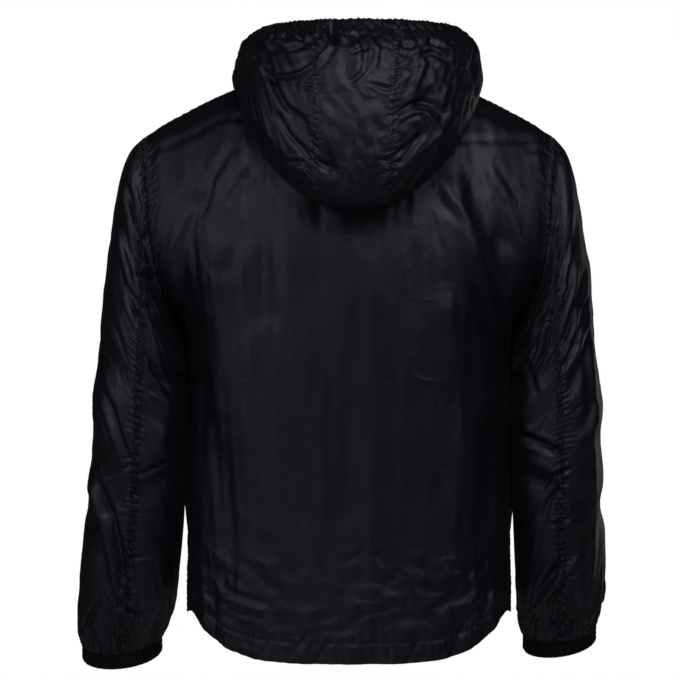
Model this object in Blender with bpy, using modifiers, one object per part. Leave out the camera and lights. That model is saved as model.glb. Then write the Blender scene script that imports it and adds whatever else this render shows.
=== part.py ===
"""A hooded windbreaker jacket, zipped up and filled out as worn, with its hood down.

Metres, +Z up. The front faces -Y and +X is the wearer's left. The origin is the middle of
the neck opening, level with the seam of the hood, where the wearer holds the jacket up.
Every cloth piece is an open sheet of points, thickened towards the inside of the jacket.
"""

import bisect
import math
from collections import namedtuple
from dataclasses import dataclass

import bmesh
import bpy
import numpy as np
from mathutils import Vector
from mathutils.bvhtree import BVHTree

# ---------------------------------------------------------------- driving sizes
WALL = 0.0014  # thickness of a cloth piece
SEAM = 0.00018  # half of the gap between two pieces that are sewn edge to edge
SEAM_REACH = 0.004  # edges nearer to each other than this are sewn together
MOST_SLANT = 0.5  # edges that rows meet at a slant are parted by up to 1 / this as much
RIDGE_ROOM = 1.5  # room for the inner corners of two walls that meet along a ridge
NECK_GAP = 0.0007  # the hood starts this far above the edge of the neck
HOOD_LIFT = 0.0030  # least height of the hood above the shoulders that it lies on

ZIP_HALF_OPENING = 0.006  # from the centre front to the edge of a front panel
TAPE_HALF_WIDTH = 0.015
TAPE_WALL = 0.0010
TAPE_DEPTH = WALL + 0.0008  # from a front panel's outer face to the tape's
TAPE_SHORTER = 0.22  # at each end, of the last row of the panel in front
CASING = 0.024  # height of the turned hem that holds the elastic
BACK_HEIGHT = 0.585  # of the side, from hem to shoulder, for the height of the casing
CUFF = 0.018  # height of an elastic cuff band

NECK_HALF_WIDTH = 0.088
NECK_SIDE_Y, NECK_SIDE_Z = 0.005, 0.020
NECK_DIP_POWER = 1.5  # how the neckline drops from its sides to the centre
SHOULDER_ARCH = 0.006  # how far a shoulder seam bows up between neck and sleeve
SHOULDER_FULLNESS = 0.0055  # how far the panels swell beside that seam, so that it isn't a ridge
FULLNESS_RISE = 0.045  # the swell is fullest this far below the seam

# ---------------------------------------------------------------- tables
# The torso from hem to shoulder, one row for each level. The side is the side seam up to
# the armpit; above it the armhole takes over. The turn is how far round the section goes,
# and the fullness pushes it out sideways just in front of the side seam.
TorsoRow = namedtuple("TorsoRow", "rise centre_y centre_z side_x side_z turn_deg fullness")
ARMPIT_RISE = 0.64
BACK = (
    TorsoRow(0.00, 0.112, -0.662, 0.1915, -0.601, 90, 0),
    TorsoRow(0.12, 0.117, -0.592, 0.1900, -0.545, 90, 0),
    TorsoRow(0.30, 0.118, -0.480, 0.1895, -0.455, 90, 0),
    TorsoRow(0.48, 0.123, -0.370, 0.1895, -0.365, 90, 0),
    TorsoRow(0.64, 0.128, -0.275, 0.1930, -0.270, 86, 0),
    TorsoRow(0.72, 0.126, -0.215, 0.1930, -0.270, 62, 0),
    TorsoRow(0.80, 0.120, -0.150, 0.1930, -0.270, 48, 0),
    TorsoRow(0.88, 0.109, -0.085, 0.1930, -0.270, 42, 0),
    TorsoRow(0.94, 0.092, -0.035, 0.1930, -0.270, 40, 0),
    TorsoRow(1.00, 0.060, 0.008, 0.1930, -0.270, 40, 0),
)
FRONT = (
    TorsoRow(0.00, -0.112, -0.622, 0.1915, -0.601, 90, 0.000),
    TorsoRow(0.12, -0.118, -0.560, 0.1900, -0.545, 90, 0.000),
    TorsoRow(0.30, -0.121, -0.463, 0.1895, -0.455, 90, 0.012),
    TorsoRow(0.48, -0.127, -0.367, 0.1895, -0.365, 90, 0.014),
    TorsoRow(0.64, -0.134, -0.280, 0.1930, -0.270, 86, 0.011),
    TorsoRow(0.72, -0.132, -0.238, 0.1930, -0.270, 62, 0.002),
    TorsoRow(0.80, -0.125, -0.196, 0.1930, -0.270, 48, 0),
    TorsoRow(0.88, -0.113, -0.150, 0.1930, -0.270, 42, 0),
    TorsoRow(0.94, -0.097, -0.112, 0.1930, -0.270, 40, 0),
    TorsoRow(1.00, -0.075, -0.070, 0.1930, -0.270, 40, 0),
)
SECTION_POWER = 2.2  # 2 is an ellipse, more is squarer
FULLEST_ACROSS, FULLNESS_SPREAD = 0.86, 0.11

# The left armhole seam, from the shoulder point round the back to the armpit and up the front.
ArmholeRow = namedtuple("ArmholeRow", "angle_deg x y z")
ARMHOLE = (
    ArmholeRow(0, 0.241, -0.005, -0.053),
    ArmholeRow(30, 0.241, 0.026, -0.070),
    ArmholeRow(60, 0.237, 0.047, -0.110),
    ArmholeRow(90, 0.233, 0.056, -0.160),
    ArmholeRow(120, 0.225, 0.052, -0.212),
    ArmholeRow(150, 0.210, 0.032, -0.254),
    ArmholeRow(180, 0.193, 0.000, -0.270),
    ArmholeRow(210, 0.200, -0.034, -0.256),
    ArmholeRow(240, 0.212, -0.056, -0.216),
    ArmholeRow(270, 0.221, -0.061, -0.162),
    ArmholeRow(300, 0.229, -0.050, -0.112),
    ArmholeRow(330, 0.238, -0.030, -0.071),
    ArmholeRow(360, 0.241, -0.005, -0.053),
)
ARMHOLE_STEP_DEG = 15  # the panels and the sleeve share their points along this seam

# A sleeve from armhole to cuff, one row for each ring: its outer and inner ends as seen
# from behind, its middle and half depth front to back, and how far its back edge drops.
SleeveRow = namedtuple("SleeveRow", "run outer_x outer_z inner_x inner_z mid_y half_depth back_drop")
LEFT_SLEEVE = (
    SleeveRow(0.00, 0.241, -0.053, 0.193, -0.270, -0.002, 0.058, 0.000),
    SleeveRow(0.06, 0.258, -0.071, 0.198, -0.276, 0.002, 0.064, 0.000),
    SleeveRow(0.13, 0.269, -0.102, 0.200, -0.285, 0.005, 0.068, 0.000),
    SleeveRow(0.22, 0.277, -0.148, 0.199, -0.302, 0.010, 0.070, 0.000),
    SleeveRow(0.32, 0.283, -0.205, 0.194, -0.326, 0.018, 0.069, 0.000),
    SleeveRow(0.44, 0.291, -0.275, 0.194, -0.360, 0.020, 0.066, 0.000),
    SleeveRow(0.56, 0.297, -0.350, 0.193, -0.401, 0.021, 0.062, 0.003),
    SleeveRow(0.67, 0.302, -0.422, 0.193, -0.447, 0.015, 0.059, 0.006),
    SleeveRow(0.78, 0.311, -0.492, 0.194, -0.499, 0.001, 0.057, 0.010),
    SleeveRow(0.87, 0.317, -0.550, 0.199, -0.550, -0.016, 0.055, 0.014),
    SleeveRow(0.94, 0.321, -0.605, 0.207, -0.603, -0.033, 0.052, 0.016),
    SleeveRow(0.98, 0.322, -0.636, 0.216, -0.631, -0.044, 0.045, 0.016),
    SleeveRow(1.00, 0.320, -0.655, 0.223, -0.646, -0.050, 0.039, 0.015),
)
RIGHT_SLEEVE = (
    SleeveRow(0.00, 0.241, -0.053, 0.193, -0.270, -0.002, 0.058, 0.000),
    SleeveRow(0.06, 0.256, -0.072, 0.198, -0.276, 0.002, 0.064, 0.000),
    SleeveRow(0.13, 0.266, -0.104, 0.200, -0.285, 0.005, 0.068, 0.000),
    SleeveRow(0.22, 0.273, -0.148, 0.199, -0.302, 0.010, 0.070, 0.000),
    SleeveRow(0.32, 0.281, -0.205, 0.194, -0.326, 0.018, 0.069, 0.000),
    SleeveRow(0.44, 0.287, -0.275, 0.194, -0.360, 0.020, 0.066, 0.000),
    SleeveRow(0.56, 0.293, -0.350, 0.193, -0.401, 0.021, 0.062, 0.003),
    SleeveRow(0.67, 0.297, -0.420, 0.193, -0.447, 0.015, 0.059, 0.006),
    SleeveRow(0.78, 0.300, -0.485, 0.193, -0.499, 0.001, 0.057, 0.009),
    SleeveRow(0.87, 0.304, -0.535, 0.196, -0.550, -0.015, 0.055, 0.012),
    SleeveRow(0.94, 0.304, -0.583, 0.200, -0.600, -0.030, 0.052, 0.013),
    SleeveRow(0.98, 0.301, -0.612, 0.203, -0.626, -0.041, 0.045, 0.013),
    SleeveRow(1.00, 0.296, -0.632, 0.208, -0.645, -0.046, 0.039, 0.012),
)
SLEEVE_HEAD_RUN = 0.34  # the armhole's own shape has faded into the tube by here
BACK_SEAM_DEG = 90  # where the two pieces of a sleeve meet behind the arm
INNER_SEAM_DEG = 210  # and where they meet again in front of it

# The hood from neck seam to rim, one row for each ring round the neck: where it crosses
# the side, the centre back and the centre front.
HoodRow = namedtuple("HoodRow", "run side_x side_y side_z back_y back_z front_y front_z")
HOOD = (
    HoodRow(0.00, 0.0880, 0.005, 0.021, 0.060, 0.009, -0.075, -0.069),
    HoodRow(0.12, 0.1030, 0.012, 0.021, 0.092, -0.022, -0.079, -0.062),
    HoodRow(0.36, 0.1350, 0.022, 0.006, 0.136, -0.143, -0.085, -0.049),
    HoodRow(0.48, 0.1440, 0.026, 0.020, 0.171, -0.110, -0.089, -0.038),
    HoodRow(0.66, 0.1410, 0.026, 0.037, 0.182, -0.042, -0.091, -0.025),
    HoodRow(0.84, 0.1340, 0.022, 0.056, 0.164, 0.028, -0.091, -0.011),
    HoodRow(1.00, 0.1170, 0.016, 0.069, 0.122, 0.072, -0.089, 0.004),
)
HOOD_DIP_POWER = 1.15  # how each ring of the hood drops from its sides to the centre
SETTLING_ROUNDS = 6  # passes that raise the hood clear of the shoulders
HOOD_SLIP = 0.013  # the worn hood has slipped this far to the wearer's right
SLIP_RUNS = (0.1, 0.6)  # along the hood, where the slip starts and is whole
NECK_STEP_DEG = 18  # the panels and the hood share their points along the neck seam
HOOD_STEP_DEG = NECK_STEP_DEG / 4
HOOD_SEAM_DEG = 18  # where the centre panel of the hood meets the side panels
HOOD_RUNS = (0.0, 0.06, 0.12, 0.21, 0.29, 0.36, 0.42, 0.49, 0.57, 0.66, 0.75, 0.84, 0.90, 0.95, 1.0)
FINE_HOOD_ROWS = (12, 13, 14)

# Soft folds as seen from behind or from the front: a trough or ridge from one place to another.
FoldRow = namedtuple("FoldRow", "from_x from_z to_x to_z half_width height")
BACK_FOLDS = (
    FoldRow(0.179, -0.138, 0.190, -0.235, 0.015, -0.0050),
    FoldRow(0.118, -0.111, 0.146, -0.210, 0.015, -0.0040),
    FoldRow(0.099, -0.139, 0.094, -0.260, 0.016, -0.0035),
    FoldRow(0.152, -0.190, 0.152, -0.370, 0.015, 0.0045),
    FoldRow(0.172, -0.281, 0.162, -0.380, 0.014, -0.0045),
    FoldRow(0.150, -0.430, 0.140, -0.560, 0.018, -0.0035),
    FoldRow(-0.131, -0.094, -0.172, -0.179, 0.015, -0.0045),
    FoldRow(-0.172, -0.179, -0.184, -0.247, 0.014, -0.0040),
    FoldRow(-0.119, -0.120, -0.148, -0.213, 0.015, 0.0040),
    FoldRow(-0.148, -0.213, -0.180, -0.321, 0.015, -0.0045),
    FoldRow(-0.110, -0.260, -0.130, -0.420, 0.018, 0.0035),
    FoldRow(-0.165, -0.400, -0.160, -0.560, 0.017, -0.0045),
    FoldRow(0.030, -0.230, 0.000, -0.480, 0.024, -0.0025),
)
FRONT_FOLDS = (
    FoldRow(0.150, -0.130, 0.120, -0.260, 0.018, -0.0045),
    FoldRow(0.165, -0.300, 0.140, -0.480, 0.018, -0.0045),
    FoldRow(0.120, -0.280, 0.100, -0.500, 0.018, 0.0035),
    FoldRow(0.070, -0.220, 0.060, -0.520, 0.018, -0.0030),
)
HOOD_FOLDS = (
    FoldRow(0.093, 0.007, 0.027, -0.097, 0.012, -0.0050),
    FoldRow(0.077, -0.047, 0.030, -0.100, 0.010, -0.0030),
    FoldRow(-0.062, -0.035, -0.085, -0.024, 0.011, -0.0035),
    FoldRow(-0.085, -0.024, -0.101, -0.036, 0.011, -0.0035),
    FoldRow(-0.079, -0.063, -0.051, -0.092, 0.011, -0.0035),
    FoldRow(-0.010, 0.030, -0.012, -0.110, 0.012, 0.0025),
)
# Folds across a sleeve: where along it, round it, and how it runs.
SleeveFoldRow = namedtuple("SleeveFoldRow", "run angle_deg lean half_run half_angle_deg height")
SLEEVE_FOLDS = (
    SleeveFoldRow(0.26, 130, 0.05, 0.050, 60, -0.0050),
    SleeveFoldRow(0.40, 150, -0.05, 0.045, 55, -0.0040),
    SleeveFoldRow(0.52, 90, 0.05, 0.045, 60, -0.0040),
    SleeveFoldRow(0.62, 50, 0.05, 0.045, 60, 0.0040),
    SleeveFoldRow(0.71, 100, -0.06, 0.045, 60, -0.0045),
    SleeveFoldRow(0.82, 40, 0.06, 0.045, 60, -0.0040),
    SleeveFoldRow(0.55, 290, 0.05, 0.045, 60, -0.0045),
    SleeveFoldRow(0.74, 280, -0.05, 0.045, 60, -0.0045),
)

# Gathers that the elastic draws up, as whole waves in each piece. A wave has four points.
TORSO_COLUMNS = 12  # across half of the back, or across a front panel
NECK_SHARE = 5 / TORSO_COLUMNS  # of them, those along the neck
HEM_WAVES, HEM_WAVE_HEIGHT = 6, 0.0020
HEM_PINCH = 0.0016  # how far the row of stitches above the casing draws in
HEM_FADE = (0.9, 2.8)  # heights of the casing, from its foot, between which the gathers fade out
SLEEVE_WAVES, SLEEVE_WAVE_HEIGHT = 12, 0.0024
SLEEVE_GATHER_RUN = 0.90
CUFF_WAVE_HEIGHT = 0.0011
CUFF_SQUEEZE, CUFF_WAIST = 0.978, 0.012  # of the sleeve's end: the band's width, and its hollow
CUFF_START = 0.03  # the gap above the band, of the band's height
CUFF_SLANT = 0.2  # how far the band leans forward, of its height
RIM_WAVE_DEG, RIM_WAVE_HEIGHT = 18, 0.0018
RIM_GATHER_RUN = 0.86
RIM_FADE_DEG = (130, 165)  # towards the zip the rim has no elastic

# Where folds fade out: near seams, along a sleeve, and on the hidden layers of the hood.
FOLD_END_RISES = (0.84, 0.94)
SIDE_FADE = (0.90, 1.0)
ZIP_FADE = (0.02, 0.05)
SLEEVE_FOLD_STARTS, SLEEVE_FOLD_ENDS = (0.05, 0.22), (0.86, 0.95)
SLEEVE_SEAM_FADE_DEG, SLEEVE_SEAM_SHARE = 30, 0.35
HOOD_FOLD_RUNS = (0.40, 0.52)
HOOD_FOLD_DEPTHS = (0.02, 0.07)

# The zip's metal pieces: width along X, depth along Y, height along Z.
SLIDER_SIZE = (0.0090, 0.0042, 0.0110)
SLIDER_TOP = 0.0015  # the top of the slider's body, near the top of the closed zip
BRIDGE_SIZE = (0.0024, 0.0032, 0.0094)
BRIDGE_BAR = 0.0012  # what is left of the bridge in front of its window
BRIDGE_WINDOW = 0.0054
PULL_SIZE = (0.0060, 0.0012, 0.0290)
PULL_EYE = (0.0034, 0.0049)  # width and height of the hole that the bridge passes through
BOX_SIZE = (0.0080, 0.0030, 0.0120)
METAL_GAP = 0.0003

# Colours: linear red, green, blue, with roughness and metallic value.
NYLON = ("black_nylon", (0.0115, 0.0110, 0.0165), 0.42, 0.0)
ELASTIC = ("black_elastic", (0.0100, 0.0100, 0.0125), 0.62, 0.0)
TAPE = ("zip_tape", (0.0095, 0.0095, 0.0110), 0.70, 0.0)
METAL = ("zip_metal", (0.0400, 0.0400, 0.0430), 0.34, 0.9)


# ---------------------------------------------------------------- curves
def along(rows, key):
    """The columns of a table at a key between its rows, on a smooth curve through them."""
    keys = [row[0] for row in rows]
    low = min(max(bisect.bisect_right(keys, key) - 1, 0), len(rows) - 2)
    before, start, end, after = (
        np.array(rows[min(max(i, 0), len(rows) - 1)], float) for i in range(low - 1, low + 3)
    )
    step = end[0] - start[0]
    share = (key - start[0]) / step
    start_slope = (end - before) / (end[0] - before[0]) * step
    end_slope = (after - start) / (after[0] - start[0]) * step
    square, cube = share**2, share**3
    value = (
        (2 * cube - 3 * square + 1) * start
        + (cube - 2 * square + share) * start_slope
        + (3 * square - 2 * cube) * end
        + (cube - square) * end_slope
    )
    return value[1:]


def ease(value, start, end):
    """0 before start, 1 after end, and a smooth step between them."""
    share = min(max((value - start) / (end - start), 0.0), 1.0)
    return share * share * (3 - 2 * share)


def bump(distance, half_width):
    """1 at no distance, fading smoothly to 0."""
    return math.exp(-((distance / half_width) ** 2))


def turn_between(start_deg, end_deg):
    """The shorter turn from one angle to another, from -180 to 180."""
    return (end_deg - start_deg + 180) % 360 - 180


def fold_height(folds, x, z):
    """How far the folds of a panel move a point out, at this place of the panel's view."""
    total = 0.0
    for fold in folds:
        start, end = Vector((fold.from_x, fold.from_z)), Vector((fold.to_x, fold.to_z))
        length = end - start
        share = min(max((Vector((x, z)) - start).dot(length) / length.length_squared, 0.0), 1.0)
        total += fold.height * bump((start + length * share - Vector((x, z))).length, fold.half_width)
    return total


def unit(vectors):
    """The vectors of an array, along its last axis, at length 1."""
    return vectors / np.linalg.norm(vectors, axis=-1, keepdims=True)


# ---------------------------------------------------------------- panels
@dataclass
class Panel:
    """A cut piece: the points of its outer face, row by row, and how it is meshed.

    The outer face looks along (across x up) where outward is 1. Every second column is left
    out of all but the fine rows.
    """

    name: str
    grid: np.ndarray
    outward: int
    fine_rows: tuple
    finish: tuple = NYLON
    closed: bool = False

    def edges(self):
        """The lines of the edges as (index, points, points further in, sign of into x along)."""
        grid, everything = self.grid, slice(None)
        found = [((0, everything), grid[0], grid[1], -1), ((-1, everything), grid[-1], grid[-2], 1)]
        if not self.closed:
            found += [
                ((everything, 0), grid[:, 0], grid[:, 2], 1),
                ((everything, -1), grid[:, -1], grid[:, -3], -1),
            ]
        return found

    def edge_lines(self):
        """For each edge: its index, its points, the directions into the panel, and its normals.

        The directions are longer than 1 where the rows meet the edge at a slant.
        """
        lines = []
        for index, edge, inner, sign in self.edges():
            seam = unit(np.gradient(edge, axis=0))
            slanted = unit(inner - edge)
            into = slanted - seam * (slanted * seam).sum(axis=1, keepdims=True)
            squareness = np.linalg.norm(into, axis=1, keepdims=True)
            into = unit(into)
            normals = np.cross(into, seam) * sign * self.outward
            lines.append((index, edge, into / np.maximum(squareness, MOST_SLANT), normals))
        return lines

    def rows(self):
        """The rows of points that are meshed."""
        if self.closed:
            return list(self.grid)
        return [row if i in self.fine_rows else row[::2] for i, row in enumerate(self.grid)]


def part_seams(panels):
    """Pulls in the edges of panels that meet, so that the inner corners of their walls stay clear."""
    lines = {panel.name: panel.edge_lines() for panel in panels}
    moves = {panel.name: np.zeros_like(panel.grid) for panel in panels}
    for panel in panels:
        others = [line for name in lines if name != panel.name for line in lines[name]]
        points = np.concatenate([line[1] for line in others])
        normals = np.concatenate([line[3] for line in others])
        for index, edge, into, own in lines[panel.name]:
            apart = np.linalg.norm(edge[:, None] - points[None], axis=2)
            nearest = apart.argmin(axis=1)
            sewn = apart.min(axis=1) < SEAM_REACH
            half_bend = np.arccos(np.clip((own * normals[nearest]).sum(axis=1), -0.9, 1)) / 2
            ridge = (into * normals[nearest]).sum(axis=1) < 0
            pull = SEAM / np.cos(half_bend) + RIDGE_ROOM * WALL * np.tan(half_bend) * ridge
            moves[panel.name][index] += into * (pull * sewn)[:, None]
    for panel in panels:
        panel.grid = panel.grid + moves[panel.name]


def surface(function, across, up):
    """A grid of points: one row for each value of up, one column for each value of across."""
    return np.array([[function(u, v) for u in across] for v in up], float)


def moved_out(grid, heights, outward, closed=False):
    """The grid with each point moved along its normal."""
    if closed:
        across = np.roll(grid, -1, axis=1) - np.roll(grid, 1, axis=1)
    else:
        across = np.gradient(grid, axis=1)
    normals = unit(np.cross(across, np.gradient(grid, axis=0)))
    return grid + outward * normals * np.asarray(heights)[:, :, None]


# ---------------------------------------------------------------- the torso
def armhole(angle_deg):
    """A point of the left armhole seam."""
    return along(ARMHOLE, angle_deg % 360)


def neckline(angle_deg):
    """The neck seam: 0 is the centre back, 90 the side of the neck, 180 the centre front."""
    rows = BACK if angle_deg <= 90 else FRONT
    centre_y, centre_z = rows[-1].centre_y, rows[-1].centre_z
    turn = math.radians(angle_deg)
    lean = abs(math.cos(turn))
    return np.array(
        (
            NECK_HALF_WIDTH * math.sin(turn),
            NECK_SIDE_Y + (centre_y - NECK_SIDE_Y) * lean,
            NECK_SIDE_Z + (centre_z - NECK_SIDE_Z) * lean**NECK_DIP_POWER,
        )
    )


def top_edge(across, rows):
    """The neckline and then the shoulder seam, from the centre (0) to the shoulder point (1)."""
    if across <= NECK_SHARE:
        turn = 90 * across / NECK_SHARE
        return neckline(turn if rows is BACK else 180 - turn)
    share = (across - NECK_SHARE) / (1 - NECK_SHARE)
    neck, shoulder = neckline(90), armhole(0)
    point = neck + (shoulder - neck) * share
    point[2] += SHOULDER_ARCH * math.sin(math.pi * share)
    return point


def section(across, centre, side, turn_deg, fullness=0.0):
    """A point of one level's section: from the centre (0) round to the side (1)."""
    full = math.radians(turn_deg)
    angle = across * full
    power = 1 - (1 - 2 / SECTION_POWER) * ease(turn_deg, 40, 60)
    sideways = (math.sin(angle) / math.sin(full)) ** power
    onward = (max(math.cos(angle) - math.cos(full), 0.0) / (1 - math.cos(full))) ** power
    dip = ease(onward, 0.15, 1.0) if turn_deg > 80 else onward
    bulge = fullness * bump(across - FULLEST_ACROSS, FULLNESS_SPREAD) * (1 - ease(across, 0.93, 1))
    return np.array(
        (
            centre[0] + (side[0] - centre[0]) * sideways + bulge,
            side[1] + (centre[1] - side[1]) * onward,
            side[2] + (centre[2] - side[2]) * dip,
        )
    )


SHOULDERS_START = 0.74  # above this rise the sections turn into the neck and shoulders


def torso_point(across, rise, rows, centre_x=0.0):
    """A point of the back or front on the wearer's left, across from the centre to the side."""
    centre_y, centre_z, side_x, side_z, turn_deg, fullness = along(rows, rise)
    centre = np.array((centre_x, centre_y, centre_z))
    if rise <= ARMPIT_RISE:
        side = np.array((side_x, 0.0, side_z))
    else:
        angle = 180 * (1 - (rise - ARMPIT_RISE) / (1 - ARMPIT_RISE))
        side = armhole(angle if rows is BACK else 360 - angle)
    point = section(across, centre, side, turn_deg, fullness)
    if rise <= SHOULDERS_START:
        return point
    quarter = (rise - SHOULDERS_START) / (1 - SHOULDERS_START) * math.pi / 2
    top_centre = top_edge(0, rows)
    top_centre[0] = centre_x
    plain = section(across, top_centre, top_edge(1, rows), turn_deg)
    target = top_edge(across, rows)
    target[0] = max(target[0], centre_x)
    weight = np.array((ease(rise, SHOULDERS_START, 1), 1 - math.cos(quarter), math.sin(quarter)))
    return point + weight * (target - plain)


CASING_RISE = CASING / BACK_HEIGHT
TORSO_RISES = np.concatenate(
    [
        CASING_RISE * np.array((0.0, 0.5, 1.0, 1.7)),
        np.linspace(CASING_RISE * 2.8, ARMPIT_RISE, 10),
        np.linspace(ARMPIT_RISE, 1.0, 180 // ARMHOLE_STEP_DEG + 1)[1:],
    ]
)
FINE_HEM_ROWS = (0, 1, 2, 3)


def hem_height(rise, across):
    """The gathers of the hem casing, which fade out above it, and its row of stitches."""
    fade = 1 - ease(rise / CASING_RISE, *HEM_FADE)
    stitched = HEM_PINCH * bump(rise / CASING_RISE - 1, 0.25)
    return fade * HEM_WAVE_HEIGHT * math.cos(2 * math.pi * HEM_WAVES * across) - stitched


def shoulder_height(rise, across):
    """The swell of the panels beside the shoulder seam."""
    below_seam = (1 - rise) / FULLNESS_RISE
    along_seam = ease(across, NECK_SHARE - 0.10, NECK_SHARE + 0.15)
    return SHOULDER_FULLNESS * along_seam * below_seam * math.exp(1 - below_seam)


def torso_heights(grid, across, folds):
    """The folds and gathers of a torso panel. They fade out at the side seam and the armhole."""

    def height(rise, u, place):
        draped = fold_height(folds, place[0], place[2]) * (1 - ease(rise, *FOLD_END_RISES))
        inside_seams = 1 - ease(abs(u), *SIDE_FADE)
        return (draped + hem_height(rise, u) + shoulder_height(rise, abs(u))) * inside_seams

    rows = zip(TORSO_RISES, grid)
    return np.array([[height(rise, u, place) for u, place in zip(across, row)] for rise, row in rows])


def back_panel():
    """The back, from the wearer's right side to the left."""
    across = np.linspace(-1, 1, 4 * TORSO_COLUMNS + 1)
    sides = np.sign(across)[None, :, None] * (1, 0, 0) + (0, 1, 1)
    grid = surface(lambda u, rise: torso_point(abs(u), rise, BACK), across, TORSO_RISES) * sides
    grid = moved_out(grid, torso_heights(grid, across, BACK_FOLDS), -1)
    return Panel("back", grid, -1, FINE_HEM_ROWS)


def front_panel(side, word):
    """A front, from the zip to the side seam. Side is 1 on the wearer's left and -1 on the right."""
    across = np.linspace(0, 1, 2 * TORSO_COLUMNS + 1)
    grid = surface(lambda u, rise: torso_point(u, rise, FRONT, ZIP_HALF_OPENING), across, TORSO_RISES)
    zip_fade = [ease(x, *ZIP_FADE) for x in grid[0, :, 0]]
    grid = moved_out(grid, torso_heights(grid, across, FRONT_FOLDS) * zip_fade, 1)
    return Panel(f"front_{word}", grid * (side, 1, 1), side, FINE_HEM_ROWS)


# ---------------------------------------------------------------- the sleeves
def sleeve_ring(rows, run, angle_deg):
    """A point of a left sleeve's smooth tube."""
    outer_x, outer_z, inner_x, inner_z, mid_y, half_depth, back_drop = along(rows, run)
    turn = math.radians(angle_deg)
    middle = np.array(((outer_x + inner_x) / 2, mid_y, (outer_z + inner_z) / 2))
    outward = np.array(((outer_x - inner_x) / 2, 0, (outer_z - inner_z) / 2))
    backward = np.array((0, half_depth, -back_drop))
    return middle + outward * math.cos(turn) + backward * math.sin(turn)


def sleeve_point(rows, run, angle_deg):
    """A point of a sleeve: the armhole seam at run 0, which eases into the smooth tube."""
    settle = (1 - ease(run, 0, SLEEVE_HEAD_RUN)) ** 1.5
    seam_offset = armhole(angle_deg) - sleeve_ring(rows, 0, angle_deg)
    return sleeve_ring(rows, run, angle_deg) + settle * seam_offset


def sleeve_height(run, angle_deg):
    """Folds across the sleeve, and the gathers where the cuff draws it up."""
    total = 0.0
    for fold in SLEEVE_FOLDS:
        around = turn_between(fold.angle_deg, angle_deg)
        middle = fold.run + fold.lean * around / fold.half_angle_deg
        total += fold.height * bump(around, fold.half_angle_deg) * bump(run - middle, fold.half_run)
    from_seam = min(abs(turn_between(seam, angle_deg)) for seam in (BACK_SEAM_DEG, INNER_SEAM_DEG))
    beside_seam = SLEEVE_SEAM_SHARE + (1 - SLEEVE_SEAM_SHARE) * ease(from_seam, 0, SLEEVE_SEAM_FADE_DEG)
    total *= beside_seam * ease(run, *SLEEVE_FOLD_STARTS) * (1 - ease(run, *SLEEVE_FOLD_ENDS))
    gathered = ease(run, SLEEVE_GATHER_RUN, 1.0) * SLEEVE_WAVE_HEIGHT
    return total + gathered * math.cos(math.radians(angle_deg * SLEEVE_WAVES))


SLEEVE_RUNS = np.concatenate([np.linspace(0, 0.89, 15), (0.925, 0.955, 0.98, 1.0)])
FINE_SLEEVE_ROWS = (14, 15, 16, 17, 18)
SLEEVE_STEP_DEG = ARMHOLE_STEP_DEG / 2


def sleeve_panels(rows, side, word):
    """The upper and the under piece of a sleeve, cut from one closed tube."""
    start = INNER_SEAM_DEG - 360
    angles = np.arange(start, INNER_SEAM_DEG, SLEEVE_STEP_DEG)
    tube = surface(lambda angle, run: sleeve_point(rows, run, angle), angles, SLEEVE_RUNS)
    heights = [[sleeve_height(run, angle) for angle in angles] for run in SLEEVE_RUNS]
    tube = moved_out(tube, heights, -1, closed=True) * (side, 1, 1)
    tube = np.concatenate([tube, tube[:, :1]], axis=1)
    seam = round((BACK_SEAM_DEG - start) / SLEEVE_STEP_DEG)
    return [
        Panel(f"sleeve_upper_{word}", tube[:, : seam + 1], -side, FINE_SLEEVE_ROWS),
        Panel(f"sleeve_under_{word}", tube[:, seam:], -side, FINE_SLEEVE_ROWS),
    ]


def cuff_panel(rows, side, word):
    """A cuff band, a closed ring below the sleeve's end."""
    end = rows[-1]
    middle = np.array(((end.outer_x + end.inner_x) / 2, end.mid_y, (end.outer_z + end.inner_z) / 2))
    fall = np.array((0.0, -CUFF_SLANT * CUFF, -CUFF))
    angles = np.arange(0, 360, SLEEVE_STEP_DEG)

    def point(angle, share):
        squeeze = CUFF_SQUEEZE - CUFF_WAIST * math.sin(math.pi * share)
        place = middle + (sleeve_ring(rows, 1.0, angle) - middle) * squeeze
        return place + fall * (CUFF_START + (1 - CUFF_START) * share)

    shares = (0.0, 0.5, 1.0)
    band = surface(point, angles, shares)
    waves = [CUFF_WAVE_HEIGHT * math.cos(math.radians(angle * SLEEVE_WAVES)) for angle in angles]
    band = moved_out(band, [waves] * len(shares), -1, closed=True) * (side, 1, 1)
    return Panel(f"cuff_{word}", band, -side, (), ELASTIC, closed=True)


# ---------------------------------------------------------------- the hood
def neck_polygon(angle_deg):
    """The neck seam as the torso panels are meshed, with straight stretches between their points."""
    share = abs(angle_deg) / NECK_STEP_DEG
    low = min(int(share), 180 // NECK_STEP_DEG - 1)
    start, end = neckline(low * NECK_STEP_DEG), neckline((low + 1) * NECK_STEP_DEG)
    return start + (end - start) * (share - low)


def hood_point(run, angle_deg):
    """A point of the hood before it settles on the shoulders. Angle 0 is the centre back."""
    side_x, side_y, side_z, back_y, back_z, front_y, front_z = along(HOOD, run)
    turn = math.radians(abs(angle_deg))
    lean = abs(math.cos(turn))
    centre_y, centre_z = (back_y, back_z) if abs(angle_deg) <= 90 else (front_y, front_z)
    place = np.array(
        (
            side_x * math.sin(turn),
            side_y + (centre_y - side_y) * lean,
            side_z + (centre_z - side_z) * lean**HOOD_DIP_POWER,
        )
    )
    if run == 0:
        place = neck_polygon(angle_deg) + (0, 0, NECK_GAP)
    if abs(angle_deg) > 90:
        place[0] = max(place[0], ZIP_HALF_OPENING)
    held_by_zip = ease(-math.cos(turn), -0.3, 0.6)
    slipped = HOOD_SLIP * ease(run, *SLIP_RUNS) * (1 - held_by_zip)
    place[0] = math.copysign(place[0], angle_deg) - slipped
    return place


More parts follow.
